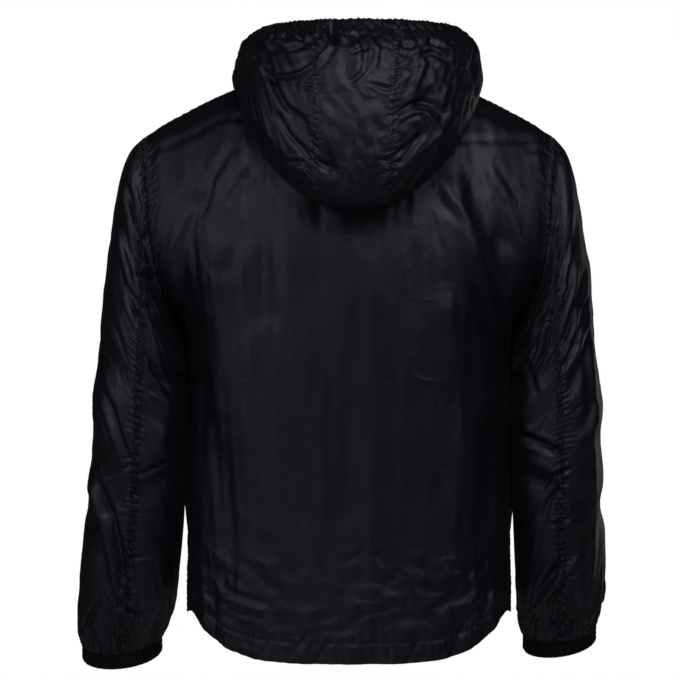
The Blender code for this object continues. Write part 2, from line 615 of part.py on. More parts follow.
def hood_height(run, angle_deg, place):
    """The folds of the hood's outer layer and the gathers of its rim."""
    folds = fold_height(HOOD_FOLDS, place[0], place[2])
    folds *= ease(run, *HOOD_FOLD_RUNS) * ease(place[1], *HOOD_FOLD_DEPTHS)
    gathered = ease(run, RIM_GATHER_RUN, 1.0) * (1 - ease(abs(angle_deg), *RIM_FADE_DEG))
    return folds + gathered * RIM_WAVE_HEIGHT * math.cos(math.radians(angle_deg * 360 / RIM_WAVE_DEG))


def settle(sheet, floor):
    """Raises a sheet, all but its first row, until its facets lie clear above the floor."""
    quarters = (0, 0.25, 0.5, 0.75, 1)
    samples = [(u, v) for u in quarters for v in quarters]
    for _ in range(SETTLING_ROUNDS):
        moves = np.zeros_like(sheet)
        for i in range(len(sheet) - 1):
            for j in range(sheet.shape[1] - 1):
                corners = sheet[i : i + 2, j : j + 2]
                for u, v in samples:
                    weights = np.outer((1 - v, v), (1 - u, u))
                    place = Vector((corners * weights[:, :, None]).sum(axis=(0, 1)))
                    near, normal, _, _ = floor.find_nearest(place)
                    lift = NECK_GAP + (HOOD_LIFT - NECK_GAP) * min(i + v, 1)
                    short = lift - (place - near).dot(normal)
                    if short > 0:
                        move = np.array(normal) * short
                        for a, b in ((0, 0), (0, 1), (1, 0), (1, 1)):
                            found = moves[i + a, j + b]
                            if weights[a, b] > 0.2 and found @ found < move @ move:
                                moves[i + a, j + b] = move
        moves[0] = 0
        sheet += moves


def above(place, floor):
    """A point, moved out where it would come too near to the floor."""
    place = Vector(place)
    near, normal, _, _ = floor.find_nearest(place)
    return near + normal * HOOD_LIFT if (place - near).dot(normal) < HOOD_LIFT else place


def hood_panels(floor):
    """The centre and side panels of the hood, cut from one sheet that rests on the shoulders."""
    angles = np.linspace(-180, 180, round(360 / HOOD_STEP_DEG) + 1)
    sheet = surface(lambda angle, run: hood_point(run, angle), angles, HOOD_RUNS)
    coarse = sheet[:, ::2]
    settle(coarse, floor)
    settled = np.array([above(place, floor) for place in sheet[1:, 1::2].reshape(-1, 3)])
    sheet[1:, 1::2] = settled.reshape(sheet[1:, 1::2].shape)
    heights = [
        [hood_height(run, angle, place) for angle, place in zip(angles, row)]
        for run, row in zip(HOOD_RUNS, sheet)
    ]
    sheet = moved_out(sheet, heights, -1)
    right_seam, left_seam = (round((180 + turn) / HOOD_STEP_DEG) for turn in (-HOOD_SEAM_DEG, HOOD_SEAM_DEG))
    return [
        Panel("hood_right", sheet[:, : right_seam + 1], -1, FINE_HOOD_ROWS),
        Panel("hood_centre", sheet[:, right_seam : left_seam + 1], -1, FINE_HOOD_ROWS),
        Panel("hood_left", sheet[:, left_seam:], -1, FINE_HOOD_ROWS),
    ]


# ---------------------------------------------------------------- the zip
def facet_line(edge, inner, x):
    """The line at x on the first strip of facets beside a front edge, as (y, z) points."""
    share = ((x - np.abs(edge[:, 0])) / (np.abs(inner[:, 0]) - np.abs(edge[:, 0])))[:, None]
    return (edge + (inner - edge) * share)[:, 1:]


def tape_panel(front, stand, side, word):
    """Half of the zip tape, behind the edges of a front panel and of the hood's stand."""
    edges = [front.grid[:, 0], stand.grid[:, -1 if side > 0 else 0]]
    inners = [front.grid[:, 2], stand.grid[:, -3 if side > 0 else 2]]
    columns = []
    for x, on_facet in ((0.5 * METAL_GAP, 0), (ZIP_HALF_OPENING, 0), (TAPE_HALF_WIDTH, 1)):
        reach = x if on_facet else ZIP_HALF_OPENING
        line = np.concatenate([facet_line(edge, inner, reach) for edge, inner in zip(edges, inners)])
        steps = unit(np.diff(line, axis=0))
        before, after = np.vstack([steps[:1], steps]), np.vstack([steps, steps[-1:]])
        middle = unit(before + after)
        inward = np.stack([middle[:, 1], -middle[:, 0]], axis=1) / (middle * after).sum(axis=1)[:, None]
        line = line + inward * TAPE_DEPTH
        line[0] += (line[1] - line[0]) * TAPE_SHORTER
        line[-1] += (line[-2] - line[-1]) * TAPE_SHORTER
        columns.append(np.column_stack([np.full(len(line), side * x), line]))
    grid = np.stack(columns, axis=1)
    return Panel(f"zip_tape_{word}", grid, side, tuple(range(len(grid))), TAPE)


def block(name, size, place, finish, collection, bevel=0.0):
    """A block with rounded edges, its middle at place. With no finish it is a cutter or a helper."""
    bpy.ops.mesh.primitive_cube_add(size=1, location=place)
    piece = bpy.context.active_object
    piece.name = piece.data.name = name
    for vertex in piece.data.vertices:
        vertex.co = Vector([c * s for c, s in zip(vertex.co, size)])
    if finish:
        piece.data.materials.append(material(finish))
    else:
        piece.hide_render = True
        piece.display_type = "WIRE"
    if bevel:
        rounding = piece.modifiers.new("rounded edges", "BEVEL")
        rounding.width = bevel
        rounding.segments = 2
    for owner in list(piece.users_collection):
        owner.objects.unlink(piece)
    collection.objects.link(piece)
    return piece


def combine(piece, other, operation):
    """Joins another block to a piece, or cuts it out of the piece."""
    change = piece.modifiers.new(operation.lower(), "BOOLEAN")
    change.operation = operation
    change.object = other


def zip_slider(jacket, cutters, stand_y):
    """The slider at the top of the closed zip, with its bridge. Returns the hinge of the pull."""
    width, depth, height = SLIDER_SIZE
    bridge_width, bridge_depth, bridge_height = BRIDGE_SIZE
    middle_z = SLIDER_TOP - height / 2
    back_y = stand_y - METAL_GAP
    front_y = back_y - depth
    root = depth / 2  # how far the bridge reaches into the body
    window_depth = bridge_depth - BRIDGE_BAR
    slider = block("zip_slider", SLIDER_SIZE, (0, back_y - depth / 2, middle_z), METAL, jacket, 0.0006)
    bridge = block(
        "bridge",
        (bridge_width, bridge_depth + root, bridge_height),
        (0, front_y + (root - bridge_depth) / 2, middle_z),
        None,
        cutters,
    )
    combine(slider, bridge, "UNION")
    hinge = Vector((0, front_y - window_depth / 2, middle_z))
    window = block("bridge_window", (width, window_depth, BRIDGE_WINDOW), hinge, None, cutters)
    combine(slider, window, "DIFFERENCE")
    return hinge


def zip_pull(jacket, cutters, hinge):
    """The pull tab: its top bar passes through the bridge, and its origin is on the hinge."""
    width, depth, length = PULL_SIZE
    eye_width, eye_height = PULL_EYE
    pull = block("zip_pull", PULL_SIZE, hinge, METAL, jacket)
    for vertex in pull.data.vertices:
        vertex.co.z += (depth - length) / 2
    rounding = pull.modifiers.new("rounded edges", "BEVEL")
    rounding.width = 0.0003
    rounding.segments = 2
    eye_place = hinge - Vector((0, 0, (depth + eye_height) / 2))
    eye = block("pull_eye", (eye_width, 3 * depth, eye_height), eye_place, None, cutters)
    combine(pull, eye, "DIFFERENCE")


def zip_box(jacket, tape):
    """The box that holds the zip together at the hem, on the front of the tape."""
    foot = tape.grid[0, 0]
    up = Vector(tape.grid[2, 0] - foot)
    tilt = math.atan2(-up.y, up.z)
    out = Vector((0, -math.cos(tilt), -math.sin(tilt)))
    middle = Vector((0, foot[1], foot[2])) + up.normalized() * BOX_SIZE[2] / 2
    box = block("zip_box", BOX_SIZE, middle + out * (METAL_GAP + BOX_SIZE[1] / 2), METAL, jacket, 0.0006)
    box.rotation_euler.x = tilt


# ---------------------------------------------------------------- making the objects
def material(finish):
    """A Principled material with this finish, made once."""
    name, colour, roughness, metallic = finish
    made = bpy.data.materials.get(name) or bpy.data.materials.new(name)
    made.use_nodes = True
    shader = made.node_tree.nodes["Principled BSDF"]
    shader.inputs["Base Color"].default_value = (*colour, 1)
    shader.inputs["Roughness"].default_value = roughness
    shader.inputs["Metallic"].default_value = metallic
    return made


def strip_faces(low, high):
    """The faces between two rows of vertices, of which one may have half as many columns."""
    if len(low) == len(high):
        return [(low[i], low[i + 1], high[i + 1], high[i]) for i in range(len(low) - 1)]
    fine, coarse = (low, high) if len(low) > len(high) else (high, low)
    faces = []
    for i, (start, end) in enumerate(zip(coarse, coarse[1:])):
        left, middle, right = fine[2 * i : 2 * i + 3]
        faces += [(left, middle, start), (middle, end, start), (middle, right, end)]
    return [face[::-1] for face in faces] if fine is high else faces


def sew(panel, collection, wall=WALL):
    """The object of a panel: its sheet with the outer face out, thickened inwards."""
    mesh = bmesh.new()
    lines = [[mesh.verts.new(point) for point in row] for row in panel.rows()]
    if panel.closed:
        lines = [[*line, line[0]] for line in lines]
    for low, high in zip(lines, lines[1:]):
        for face in strip_faces(low, high):
            mesh.faces.new(face if panel.outward > 0 else face[::-1])
    data = bpy.data.meshes.new(panel.name)
    mesh.to_mesh(data)
    mesh.free()
    data.shade_smooth()
    data.materials.append(material(panel.finish))
    piece = bpy.data.objects.new(panel.name, data)
    collection.objects.link(piece)
    thicken = piece.modifiers.new("cloth thickness", "SOLIDIFY")
    thicken.thickness = wall
    thicken.offset = -1
    return piece


def floor_of(panels):
    """The upper outer faces of panels as one searchable surface, whose normals point out."""
    points, faces = [], []
    for panel in panels:
        grid = panel.grid[len(FINE_HEM_ROWS) :, ::2]
        rows, columns = grid.shape[:2]
        for i in range(rows - 1):
            for j in range(columns - 1):
                first = len(points) + i * columns + j
                face = (first, first + 1, first + columns + 1, first + columns)
                faces.append(face if panel.outward > 0 else face[::-1])
        points += [Vector(point) for point in grid.reshape(-1, 3)]
    return BVHTree.FromPolygons(points, faces)


def new_collection(name):
    """A collection in the scene."""
    made = bpy.data.collections.new(name)
    bpy.context.scene.collection.children.link(made)
    return made


def build():
    """All the pieces of the jacket, in one collection."""
    for leftover in list(bpy.data.objects):
        bpy.data.objects.remove(leftover)
    jacket, cutters = new_collection("windbreaker jacket"), new_collection("cutters")

    sides = ((1, "left", LEFT_SLEEVE), (-1, "right", RIGHT_SLEEVE))
    torso = [back_panel(), *(front_panel(side, word) for side, word, _ in sides)]
    hood = hood_panels(floor_of(torso))
    panels = [*torso, *hood]
    for side, word, rows in sides:
        panels += [*sleeve_panels(rows, side, word), cuff_panel(rows, side, word)]
    part_seams(panels)
    for panel in panels:
        sew(panel, jacket)

    tapes = [
        tape_panel(front, stand, side, word)
        for front, stand, (side, word, _) in zip(torso[1:], (hood[2], hood[0]), sides)
    ]
    for tape in tapes:
        sew(tape, jacket, TAPE_WALL)

    top_rows = tapes[0].grid[-6:, 0]
    heights = np.linspace(SLIDER_TOP - SLIDER_SIZE[2], SLIDER_TOP, 5)
    stand_y = float(np.interp(heights, top_rows[:, 2], top_rows[:, 1]).min())
    hinge = zip_slider(jacket, cutters, stand_y)
    zip_pull(jacket, cutters, hinge)
    zip_box(jacket, tapes[0])


build()
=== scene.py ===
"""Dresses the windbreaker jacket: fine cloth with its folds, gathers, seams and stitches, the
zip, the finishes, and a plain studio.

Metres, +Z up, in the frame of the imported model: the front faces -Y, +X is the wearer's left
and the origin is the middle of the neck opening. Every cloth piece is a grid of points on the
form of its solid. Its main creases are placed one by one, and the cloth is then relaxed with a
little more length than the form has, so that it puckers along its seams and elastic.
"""
import logging
import math
from dataclasses import dataclass, field, replace
from enum import Enum

import bpy
import numpy as np
from bpy.types import ID, Material, Node, NodeSocket, NodeTree, Object
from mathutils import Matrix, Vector
from mathutils.bvhtree import BVHTree
from numpy.linalg import norm


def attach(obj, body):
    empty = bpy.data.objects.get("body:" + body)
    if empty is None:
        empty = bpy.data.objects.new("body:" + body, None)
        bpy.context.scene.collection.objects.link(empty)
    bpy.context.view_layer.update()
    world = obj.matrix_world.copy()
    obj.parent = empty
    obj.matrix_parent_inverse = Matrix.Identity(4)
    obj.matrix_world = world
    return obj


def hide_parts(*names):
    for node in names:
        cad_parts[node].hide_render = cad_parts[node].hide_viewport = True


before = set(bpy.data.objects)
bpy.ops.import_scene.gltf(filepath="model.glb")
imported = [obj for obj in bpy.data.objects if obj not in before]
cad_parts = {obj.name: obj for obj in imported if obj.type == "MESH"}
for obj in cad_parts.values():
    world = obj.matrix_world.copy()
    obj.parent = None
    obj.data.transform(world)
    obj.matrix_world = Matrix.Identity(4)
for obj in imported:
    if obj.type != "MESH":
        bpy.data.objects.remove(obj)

Array = np.ndarray
Triple = tuple[float, float, float]  # a place, a size or a colour
MM = 0.001
ROUNDS = 110  # of letting a piece of cloth find its shape
SLANT_FIRMNESS = 0.12  # how firmly cloth keeps the lengths of its diagonals
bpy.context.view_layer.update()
log = logging.getLogger("jacket")


# ---- curves
def ease(value: Array | float, start: float, end: float) -> Array:
    """Steps smoothly from 0 to 1.

    Args:
        value: Where to read the step.
        start: The step is 0 up to here.
        end: The step is 1 from here on.

    Returns:
        The height of the step at each value.
    """
    share = np.clip((value - start) / (end - start), 0.0, 1.0)
    return share * share * (3 - 2 * share)


def fade(value: Array | float, start: float, end: float) -> Array:
    """Steps smoothly from 1 to 0, where ease steps from 0 to 1."""
    return 1 - ease(value, start, end)


def bump(distance: Array | float, half_width: float) -> Array:
    """Fades smoothly from 1 at no distance.

    Args:
        distance: How far away each place is.
        half_width: Where the bump has fallen to about a third.

    Returns:
        The height of the bump at each distance.
    """
    return np.exp(-((distance / half_width) ** 2))


def unit(vectors: Array) -> Array:
    """Vectors of an array, along its last axis, at length 1."""
    return vectors / np.maximum(norm(vectors, axis=-1, keepdims=True), 1e-12)


def stack(*parts: Array) -> Array:
    """Joins coordinates along a new last axis."""
    return np.stack(parts, axis=-1)


def distances(line: Array) -> Array:
    """How far along a line each of its points is."""
    return np.concatenate([[0], np.cumsum(norm(np.diff(line, axis=0), axis=1))])


def turned_from(direction: float, angles_deg: Array) -> Array:
    """How many degrees angles are from a direction, between -180 and 180."""
    return (angles_deg - direction + 180) % 360 - 180


def link_object(name: str, data: ID) -> Object:
    """Makes an object at the origin and links it to the scene."""
    made = bpy.data.objects.new(name, data)
    bpy.context.scene.collection.objects.link(made)
    return made


class Table:
    """Rows of sizes with a smooth curve through them."""

    def __init__(self, *rows: tuple[float, ...]) -> None:
        """Keeps the rows, of which the first column is the key."""
        self.rows = np.array(rows, float)

    def at(self, keys: Array) -> Array:
        """Reads the curve.

        Args:
            keys: Keys between those of the rows.

        Returns:
            The other columns at each key, along the last axis.
        """
        rows, last = self.rows, len(self.rows) - 1
        keys = np.asarray(keys, float)
        low = np.clip(np.searchsorted(rows[:, 0], keys, side="right") - 1, 0, last - 1)
        before, start = rows[np.maximum(low - 1, 0)], rows[low]
        end, after = rows[low + 1], rows[np.minimum(low + 2, last)]
        step = end[..., :1] - start[..., :1]
        share = (keys[..., None] - start[..., :1]) / step
        start_slope = (end - before) / (end[..., :1] - before[..., :1]) * step
        end_slope = (after - start) / (after[..., :1] - start[..., :1]) * step
        square, cube = share**2, share**3
        value = (
            (2 * cube - 3 * square + 1) * start
            + (cube - 2 * square + share) * start_slope
            + (3 * square - 2 * cube) * end
            + (cube - square) * end_slope
        )
        return value[..., 1:]


class Ripples:
    """Random ripples over a sheet of cloth, the same at every run."""

    def __init__(self, seed: int, flat: Array) -> None:
        """Starts the row of random numbers, for points that lie here on the flat cloth."""
        self.source = np.random.default_rng(seed)
        self.across, self.up = flat[..., 0], flat[..., 1]

    def over(self, wave_across: float, wave_up: float) -> Array:
        """Draws a field of ripples.

        Args:
            wave_across: The length of a ripple across the cloth, in metres.
            wave_up: Its length up the cloth.

        Returns:
            Heights of about -1 to 1.
        """
        columns = (self.across - self.across.min()) / wave_across * 1.5
        rows = (self.up - self.up.min()) / wave_up * 1.5
        low_column, low_row = np.floor(columns).astype(int), np.floor(rows).astype(int)
        turns = self.source.uniform(0, 2 * math.pi, (low_row.max() + 2, low_column.max() + 2))
        part_across, part_up = columns - low_column, rows - low_row
        total = np.zeros(columns.shape)
        for i in (0, 1):
            for j in (0, 1):
                turn = turns[low_row + i, low_column + j]
                away_across, away_up = part_across - j, part_up - i
                slope = np.cos(turn) * away_across + np.sin(turn) * away_up
                total += fade(np.abs(away_across), 0, 1) * fade(np.abs(away_up), 0, 1) * slope
        return total * 1.8


# ---- creases placed one by one
@dataclass(frozen=True)
class Viewpoint:
    """Where a viewer stands level with the chest, straight behind or in front of the jacket."""

    x: float = 0.0106
    y: float = 3.2
    z: float = -0.293

    def flatten(self, points: Array) -> Array:
        """Where points appear, as (x, z), on the upright plane through the neck."""
        near = self.y / (self.y - points[..., 1])
        x, z = self.x + (points[..., 0] - self.x) * near, self.z + (points[..., 2] - self.z) * near
        return stack(x, z)


BEHIND = Viewpoint()
IN_FRONT = Viewpoint(y=-3.2)


@dataclass(frozen=True)
class Crease:
    """A trough or ridge as its viewer sees it, in millimetres.

    Attributes:
        width: Half of its width.
        height: Its height, which is below zero for a trough.
        path: Its places from end to end, as (x, z).
        shoulder: The share of its height by which the cloth beside it stands the other way.
        ends: How far it runs on at each end as it fades, as a share of its length.
    """

    width: float
    height: float
    path: tuple[tuple[float, float], ...]
    shoulder: float = 0.32
    ends: float = 0.22

    def softened(self, wider: float, lower: float, ends: float) -> "Crease":
        """The same crease, wider and lower, that fades over a longer way."""
        return replace(self, width=self.width * wider, height=self.height * lower, ends=ends)

    def heights(self, places: Array) -> Array:
        """Works out the form of the crease.

        Args:
            places: Where the viewer sees points, as (x, z).

        Returns:
            How far the crease moves each of them out, in metres.
        """
        path = np.array(self.path, float) * MM
        run_on = self.ends * distances(path)[-1]
        path[0] -= unit(path[1] - path[0]) * run_on
        path[-1] += unit(path[-1] - path[-2]) * run_on
        starts = distances(path) / distances(path)[-1]
        nearest, progress = np.full(len(places), np.inf), np.zeros(len(places))
        for start, end, first, last in zip(path, path[1:], starts, starts[1:]):
            run = end - start
            share = np.clip((places - start) @ run / (run @ run), 0, 1)
            apart = norm(places - start - share[:, None] * run, axis=1)
            nearer = apart < nearest
            nearest = np.where(nearer, apart, nearest)
            progress = np.where(nearer, first + (last - first) * share, progress)
        width = self.width * MM
        taper = 1 - np.abs(2 * progress - 1) ** 2.4 if self.ends else 1.0
        beside = self.shoulder * bump(nearest - 2.1 * width, 1.1 * width)
        return self.height * MM * taper * (bump(nearest, width) - beside)


def crease_heights(creases: tuple[Crease, ...], points: Array, viewpoint: Viewpoint) -> Array:
    """Adds up creases over a grid.

    Args:
        creases: The creases of this side.
        points: The grid of points.
        viewpoint: Where their viewer stands.

    Returns:
        How far each point moves out.
    """
    seen = viewpoint.flatten(points)
    total = np.zeros(points.shape[:-1])
    for crease in creases:
        path = np.array(crease.path, float) * MM
        reach = 4.5 * crease.width * MM + crease.ends * distances(path)[-1]
        near = np.all((seen > path.min(axis=0) - reach) & (seen < path.max(axis=0) + reach), axis=-1)
        if near.any():
            total[near] += crease.heights(seen[near])
    return total


def placed(*rows: tuple[float, ...], **ends: float) -> tuple[Crease, ...]:
    """Creases from rows of half a width, a height, and then x and z of each place."""
    return tuple(Crease(row[0], row[1], tuple(zip(row[2::2], row[3::2])), **ends) for row in rows)


# Creases of the back, as seen from behind.
BACK_CREASES = placed(
    (3.5, -2, 166, -124, 162, -106, 149, -84), (3, -1.6, 138, -124, 129, -106),
    (3, -1.8, 184, -188, 181, -223), (4, 2, 210, -188, 196, -157, 183, -131),
    (5, 1.8, 156, -219, 145, -175, 126, -135), (4, 1.1, 192, -269, 188, -178, 181, -157),
    (5, 0.8, 168, -281, 162, -215, 154, -170), (6, 1.2, 101, -160, 96, -196, 94, -281),
    (5, 1, 91, -106, 84, -142), (4, -1.5, -150, -84, -165, -113, -181, -135, -188, -160),
    (3.5, -1.6, -113, -135, -126, -148, -137, -160), (3, -1.4, -178, -96, -195, -120),
    (3, -1.2, -100, -153, -106, -178), (4, -1.2, -80, -196, -76, -242),
    (4.5, 1.8, -111, -113, -126, -135, -140, -160), (4, 1.6, -188, -142, -198, -171, -209, -184),
    (5, 2, -155, -210, -169, -250, -181, -281, -201, -314), (2.5, -1.6, -171, -221, -184, -235),
    (2.5, -1.2, -212, -70, -229, -72), (3, -1.2, -158, -28, -188, -41, -229, -46),
    (3, -1.2, -158, -59, -192, -60, -230, -59),
    (3, -1.2, 223, -70, 210, -65, 181, -52, 152, -35, 135, -34), (3, -1.1, -13, -545, 5, -555),
    (3, -1.1, -57, -570, -46, -581), (3.5, -1.3, -5, -624, -44, -609), (3, -1.3, 72, -642, 5, -635),
    (3, -1.3, 136, -591, 112, -601), (3, -1.4, 166, -594, 143, -604), (3, -1.1, 67, -592, 59, -599),
    (3, -1.1, -117, -557, -125, -564), (2.5, -1.2, 72, -668, 53, -647), (2.5, -1, 37, -670, 22, -650),
    (2.5, -1, 133, -663, 124, -647), (2.5, -1, 103, -666, 93, -648), (2.5, -1, -70, -670, -81, -650),
    (2.5, -1.1, -122, -661, -133, -635),
)
# Creases of the fronts, as seen from in front.
FRONT_CREASES = placed(
    (4, -2.2, 205, -130, 182, -190, 168, -250), (4, -1.8, 150, -100, 128, -160, 120, -215),
    (5, -1.5, 95, -110, 80, -190, 78, -260), (5, 1.9, 170, -260, 150, -330, 138, -420),
    (5, -1.9, 120, -300, 108, -400, 102, -500), (6, 1.3, 60, -230, 52, -330, 55, -430),
    (3.5, -1.2, 30, -200, 38, -240, 60, -262), (4, -1.5, 26, -420, 60, -440, 90, -470),
    (4, -1.6, 158, -520, 120, -545, 80, -560), (3.5, -1.4, 32, -540, 60, -560, 95, -568),
    (4, -2.1, -208, -135, -186, -180, -176, -240), (4, -1.7, -140, -96, -126, -150, -112, -205),
    (5, -1.4, -88, -118, -78, -180, -70, -240), (5, 2.0, -165, -280, -152, -350, -134, -430),
    (5, -1.9, -118, -280, -112, -380, -96, -480), (6, 1.3, -58, -250, -60, -350, -50, -440),
    (3.5, -1.2, -28, -180, -40, -215, -66, -235), (4, -1.5, -28, -390, -64, -415, -96, -455),
    (4, -1.6, -160, -500, -124, -530, -84, -552), (3.5, -1.4, -30, -520, -58, -545, -90, -560),
)
# Creases of the sleeves, from behind and from in front.
SLEEVE_BACK_CREASES = placed(
    (3, -2.5, 260, -232, 256, -250, 249, -273), (2.5, -2, 256, -236, 248, -251, 243, -254),
    (3, -2.5, 235, -238, 223, -262, 216, -268), (5, -2.0, 224, -268, 197, -286),
    (3, 2, 241, -205, 231, -210), (3, -2.5, 245, -216, 227, -225),
    (4, -3, 261, -117, 248, -157, 237, -184), (4, 2.5, 271, -175, 261, -211, 258, -232),
    (3.5, -2.2, 235, -314, 227, -333, 210, -355), (4, -1.6, 230, -350, 202, -364),
    (4, -2.5, 287, -360, 280, -376, 273, -399, 261, -432),
    (4.5, -3, 296, -464, 281, -500, 273, -527, 264, -583),
    (4, 2, 304, -470, 290, -505, 282, -535, 275, -583), (3, -2.2, 283, -583, 268, -608, 241, -620),
    (3, -2, 296, -602, 309, -629), (2.5, -1.0, 280, -453, 257, -440), (3, -1.0, 246, -452, 214, -437),
    (3.5, -0.8, 258, -552, 218, -540), (12, 2.5, 217, -375, 219, -422),
    (3, -2.2, -262, -214, -261, -231, -255, -248, -249, -268),
    (3, -2.2, -263, -262, -260, -278, -253, -293, -250, -306),
    (3, -2.2, -271, -284, -268, -299, -258, -317, -251, -327),
    (3, -2.2, -238, -262, -228, -270, -221, -287), (3, -2.2, -236, -270, -232, -304, -221, -326),
    (4, -1.4, -210, -322, -220, -354), (4.5, -3, -206, -407, -248, -425),
    (8, 2, -214, -437, -245, -444), (3, -2, -258, -446, -241, -452, -231, -463),
    (3, -2, -258, -458, -237, -481, -231, -496), (3, -1.6, -258, -503, -241, -511),
    (4, 2.5, -266, -555, -251, -572, -231, -596, -217, -615),
    (4, -1.8, -256, -545, -240, -569, -222, -590),
    (4, 1.5, -280, -214, -284, -281, -290, -362, -296, -399),
    (4, 1.5, -288, -399, -289, -461, -288, -520, -286, -589),
)
SLEEVE_FRONT_CREASES = placed(
    (3.5, -2.6, 262, -325, 238, -345, 212, -352), (3.5, -2.5, 276, -366, 248, -379, 216, -374),
    (4, 2.0, 284, -300, 272, -340, 262, -384), (3.5, -2.2, 244, -408, 226, -440, 216, -472),
    (4.5, -2.6, 300, -436, 286, -500, 282, -560), (4, 2.0, 264, -478, 252, -540),
    (4.5, -2.3, 272, -186, 256, -240, 240, -288), (3, -2.0, 294, -588, 272, -606, 250, -612),
    (3.5, -2.0, 262, -128, 246, -170, 232, -214), (3.5, -2.6, -258, -318, -236, -338, -210, -342),
    (3.5, -2.4, -274, -356, -250, -372, -214, -370), (4, 2.0, -282, -290, -270, -332, -258, -380),
    (3.5, -2.2, -246, -400, -228, -428, -214, -466), (4.5, -2.6, -288, -430, -276, -490, -270, -548),
    (4, 2.0, -256, -470, -244, -530), (4.5, -2.3, -268, -190, -250, -236, -238, -290),
    (3, -2.0, -280, -560, -258, -580, -232, -590), (3.5, -2.0, -258, -124, -244, -166, -230, -206),
)
# Creases of the outer layer of the hood, from behind.
HOOD_CREASES = placed(
    (3.5, -3.5, 97, 25, 86, 1, 77, -15, 66, -25),
    (3.5, -2.8, 79, -35, 71, -48, 59, -63, 47, -77, 31, -86), (3, -2.5, 98, 64, 76, 66, 51, 61),
    (3, -2, 91, 53, 70, 50, 53, 54), (3, 2.5, 98, 30, 86, 17, 66, 18, 53, 22, 39, 33, 28, 47),
    (5, -3, 111, 40, 96, 38), (4, -2.5, 22, 77, 18, 59), (2.5, -1.5, 7, 67, -33, 67),
    (2.5, -1.8, -5, 47, -13, 50, -19, 53), (2.5, -1.5, 53, 9, 32, 6), (2.5, -1.5, -24, 9, -53, 2),
    (2.5, -1.5, -37, -80, -58, -84), (2.5, -2, -4, 13, -15, 22, -19, 30), (2.5, -1.5, -19, 5, -30, -1),
    (6, 0.9, 14, 47, 11, 9, 2, -15, -5, -42, -5, -103), (4.5, 0.9, 25, -22, 19, -63, 7, -103),
    (2.5, -2, -61, -22, -73, -15, -85, -11, -97, -15, -105, -22),
    (2.5, 1.4, -63, -31, -77, -24, -88, -24, -99, -31), (2.5, -2, -88, -28, -101, -47),
    (3, -2, -85, -51, -61, -83), (2.5, -1.6, -79, -54, -51, -79), (3, -2, -78, 55, -96, 59, -114, 52),
    (3, -2, -81, 42, -98, 46, -113, 38), (3.5, 1.8, -81, 47, -88, 31, -79, 7),
    (4, -2, -133, 67, -145, 31, -152, 5), (3, -1.5, -149, -39, -157, -31),
    (2.5, -1.6, -42, -97, -58, -94, -73, -104), (2.5, -1.5, -37, -113, -41, -123),
    (3, -1.8, 100, -83, 86, -85, 53, -83, 47, -94), (3, -1.5, 86, -88, 57, -100),
    (4, -3.5, 22, 78, 15, 58), (3.5, -2.5, 118, 66, 104, 50, 88, 47),
    (3.5, 2.5, 112, 74, 98, 58, 80, 56), (3.5, -2.2, 62, 74, 54, 62, 38, 58),
    (3.5, 2.0, -22, 66, -34, 48, -30, 30), (3, -2.2, -10, 66, -20, 52, -18, 36),
    (3, -2.0, -56, 70, -62, 56, -74, 52),
)


# ---- cloth
def even_out(first: Array, second: Array, rest: Array, firmness: float) -> None:
    """Moves pairs of points so that they are nearer to their rest length apart.

    Args:
        first: One point of each pair, a view of the grid that is changed in place.
        second: The other point of each pair.
        rest: The length that the cloth has between them.
        firmness: How much of the difference is taken away.
    """
    gap = second - first
    apart = np.sqrt(np.einsum("...k,...k->...", gap, gap))
    gap *= (0.5 * firmness * (1 - rest / np.maximum(apart, 1e-7)))[..., None]
    first += gap
    second -= gap


def bend(moved: Array) -> Array:
    """Measures how sharply a grid bends.

    Args:
        moved: The grid.

    Returns:
        Its second difference at each point, along both directions.
    """
    total = np.zeros_like(moved)
    total[1:-1] += moved[2:] + moved[:-2] - 2 * moved[1:-1]
    total[:, 1:-1] += moved[:, 2:] + moved[:, :-2] - 2 * moved[:, 1:-1]
    return total


